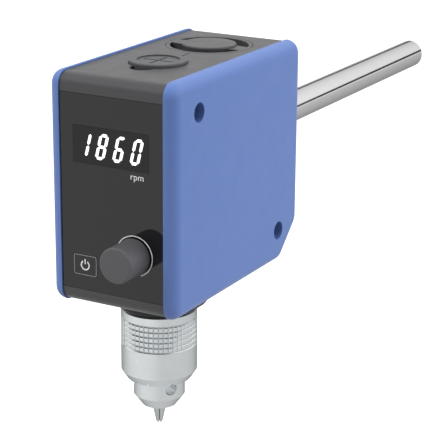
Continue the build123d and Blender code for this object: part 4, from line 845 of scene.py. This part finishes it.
@dataclass
class Studio:
    """The photograph's camera, a pale floor far below the hanging machine, and soft light."""

    target: Vector = field(default_factory=lambda: Vector((0.0, -0.06, 0.0)))
    camera_place: tuple[float, float, float] = (0.37519, -0.70300, 0.20199)
    yaw: float = 29.035
    pitch: float = 17.268
    roll: float = 0.423
    focal_px: float = 1631.54
    sensor_mm: float = 36.0
    floor_level: float = -0.40
    floor_reach: float = 9.0
    floor_sides: int = 96
    floor_grey: str = "#b8b8b8"
    floor_glow: float = 0.9
    world_light: float = 0.55
    # The sky that glossy faces show is a painted reflection, seen by no other ray: a dark band just above the
    # horizon below a bright white band, graded along sky_upright.
    painted_sky_strength: float = 1.2
    sky_upright: tuple[float, float, float] = (0.172, 0.0, 1.0)
    painted_reflection_sky_tones: tuple[tuple[float, float], ...] = (
        (-1.0, 0.85), (0.1, 0.85), (0.12, 0.03), (0.2, 0.03), (0.24, 1.0), (0.45, 1.0), (1.1, 0.85),
    )
    # Glossy faces see the floor as a painted reflection: mid grey, turning white only far off towards the
    # front left along this way.
    painted_reflection_way: tuple[float, float, float] = (-0.48, -0.87, 0.0)
    painted_reflection_floor_tones: tuple[tuple[float, float], ...] = (
        (-2.0, 0.75), (-0.9, 0.72), (-0.2, 0.78), (0.45, 0.76), (0.75, 0.97), (2.0, 1.0),
    )
    softboxes: tuple[Softbox, ...] = (
        Softbox("key_left_top", (-1.1, -1.3, 1.5), (1.2, 1.2), 34.0),
        Softbox("side_right_rear", (1.7, 0.6, 0.7), (1.4, 1.4), 30.0),
        Softbox("overhead", (0.0, 0.1, 1.8), (1.6, 1.6), 18.0),
    )

    def build_camera(self) -> None:
        """Places the camera that was solved from the housing's edges in the photograph."""
        yaw, pitch, roll = (math.radians(angle) for angle in (self.yaw, self.pitch, self.roll))
        ahead = Vector((-math.sin(yaw) * math.cos(pitch), math.cos(yaw) * math.cos(pitch), -math.sin(pitch)))
        level = Vector((math.cos(yaw), math.sin(yaw), 0.0))
        upright = level.cross(ahead)
        right = math.cos(roll) * level + math.sin(roll) * upright
        up = math.cos(roll) * upright - math.sin(roll) * level
        data = bpy.data.cameras.new("photo_camera")
        data.sensor_width = self.sensor_mm
        data.lens = self.focal_px / PHOTO_WIDTH_PX * self.sensor_mm
        camera = bpy.data.objects.new("photo_camera", data)
        bpy.context.scene.collection.objects.link(camera)
        turned = Matrix((right, up, -ahead)).transposed().to_4x4()
        camera.matrix_world = Matrix.Translation(self.camera_place) @ turned
        bpy.context.scene.camera = camera

    def build_floor(self) -> None:
        """Lays a pale floor that shows white and keeps the machine's soft shadow; glossy faces see it as a
        painted reflection, mid grey except far off towards the front left.
        """
        mesh = bmesh.new()
        bmesh.ops.create_circle(mesh, cap_ends=True, radius=self.floor_reach, segments=self.floor_sides)
        bmesh.ops.translate(mesh, verts=mesh.verts, vec=(0, 0, self.floor_level))
        data = bpy.data.meshes.new("floor")
        mesh.to_mesh(data)
        mesh.free()
        floor = bpy.data.objects.new("floor", data)
        bpy.context.scene.collection.objects.link(floor)
        material = bpy.data.materials.new("pale_studio_floor")
        material.use_nodes = True
        tree = material.node_tree
        tree.nodes.clear()
        matt = add_node(tree, "ShaderNodeBsdfDiffuse", {"Color": linear(self.floor_grey)})
        white = add_node(tree, "ShaderNodeEmission", {"Strength": self.floor_glow})
        bright = add_node(tree, "ShaderNodeAddShader", {}, {0: matt.outputs[0], 1: white.outputs[0]})
        place = add_node(tree, "ShaderNodeNewGeometry")
        along = add_node(tree, "ShaderNodeVectorMath", {"operation": "DOT_PRODUCT", 1: self.painted_reflection_way},
                         {0: place.outputs["Position"]})
        tone = grey_ramp(tree, along.outputs["Value"], self.painted_reflection_floor_tones)
        mirrored = add_node(tree, "ShaderNodeEmission", {}, {"Color": tone})
        surface = self.by_ray(tree, matt.outputs[0], mirrored.outputs[0], bright.outputs[0])
        add_node(tree, "ShaderNodeOutputMaterial", {}, {"Surface": surface})
        data.materials.append(material)

    def by_ray(
        self,
        tree: bpy.types.NodeTree,
        lighting: bpy.types.NodeSocket,
        mirrored: bpy.types.NodeSocket,
        seen: bpy.types.NodeSocket,
    ) -> bpy.types.NodeSocket:
        """Chooses a shader by what the ray is for.

        Args:
            tree: The node tree.
            lighting: The shader that lights the machine.
            mirrored: The painted reflection that glossy faces show, seen by no other ray.
            seen: The shader that the camera sees, directly or through a clear piece.

        Returns:
            The chosen shader.
        """
        path = add_node(tree, "ShaderNodeLightPath")
        glossy = add_node(tree, "ShaderNodeMixShader", {},
                          {0: path.outputs["Is Glossy Ray"], 1: lighting, 2: mirrored})
        straight = add_node(tree, "ShaderNodeMath", {"operation": "MAXIMUM"},
                            {0: path.outputs["Is Camera Ray"], 1: path.outputs["Is Transmission Ray"]})
        chosen = add_node(tree, "ShaderNodeMixShader", {},
                          {0: straight.outputs[0], 1: glossy.outputs[0], 2: seen})
        return chosen.outputs[0]

    def build_world(self) -> None:
        """Makes the world white where it is seen and soft where it lights; glossy faces see a painted
        reflection with a dark band just above the horizon.
        """
        world = bpy.data.worlds.new("studio_world")
        world.use_nodes = True
        tree = world.node_tree
        tree.nodes.clear()
        soft = add_node(tree, "ShaderNodeBackground",
                        {"Color": linear("#ffffff"), "Strength": self.world_light})
        white = add_node(tree, "ShaderNodeBackground", {"Color": linear("#ffffff"), "Strength": 1.0})
        above = add_node(tree, "ShaderNodeVectorMath", {"operation": "DOT_PRODUCT", 1: self.sky_upright},
                         {0: add_node(tree, "ShaderNodeTexCoord").outputs["Generated"]})
        tone = grey_ramp(tree, above.outputs["Value"], self.painted_reflection_sky_tones)
        mirrored = add_node(tree, "ShaderNodeBackground", {"Strength": self.painted_sky_strength}, {"Color": tone})
        surface = self.by_ray(tree, soft.outputs[0], mirrored.outputs[0], white.outputs[0])
        add_node(tree, "ShaderNodeOutputWorld", {}, {"Surface": surface})
        bpy.context.scene.world = world

    def build(self) -> None:
        """Builds the camera, the floor, the world and the lights."""
        self.build_camera()
        self.build_floor()
        self.build_world()
        for softbox in self.softboxes:
            softbox.build(self.target)
        bpy.context.scene.view_settings.view_transform = "Standard"
        LOG.info("studio built")


def main() -> None:
    """Builds every sub-assembly round the frame."""
    logging.basicConfig(level=logging.INFO, format="%(name)s: %(message)s")
    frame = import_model()
    nodes = frame["nodes"]
    Studio().build()
    for assembly in (Housing, SpeedDisplay, SpeedKnob, PowerKey, DriveTrain, ChuckEnd, TopAndRear):
        assembly(nodes).build()


if __name__ == "__main__":
    main()
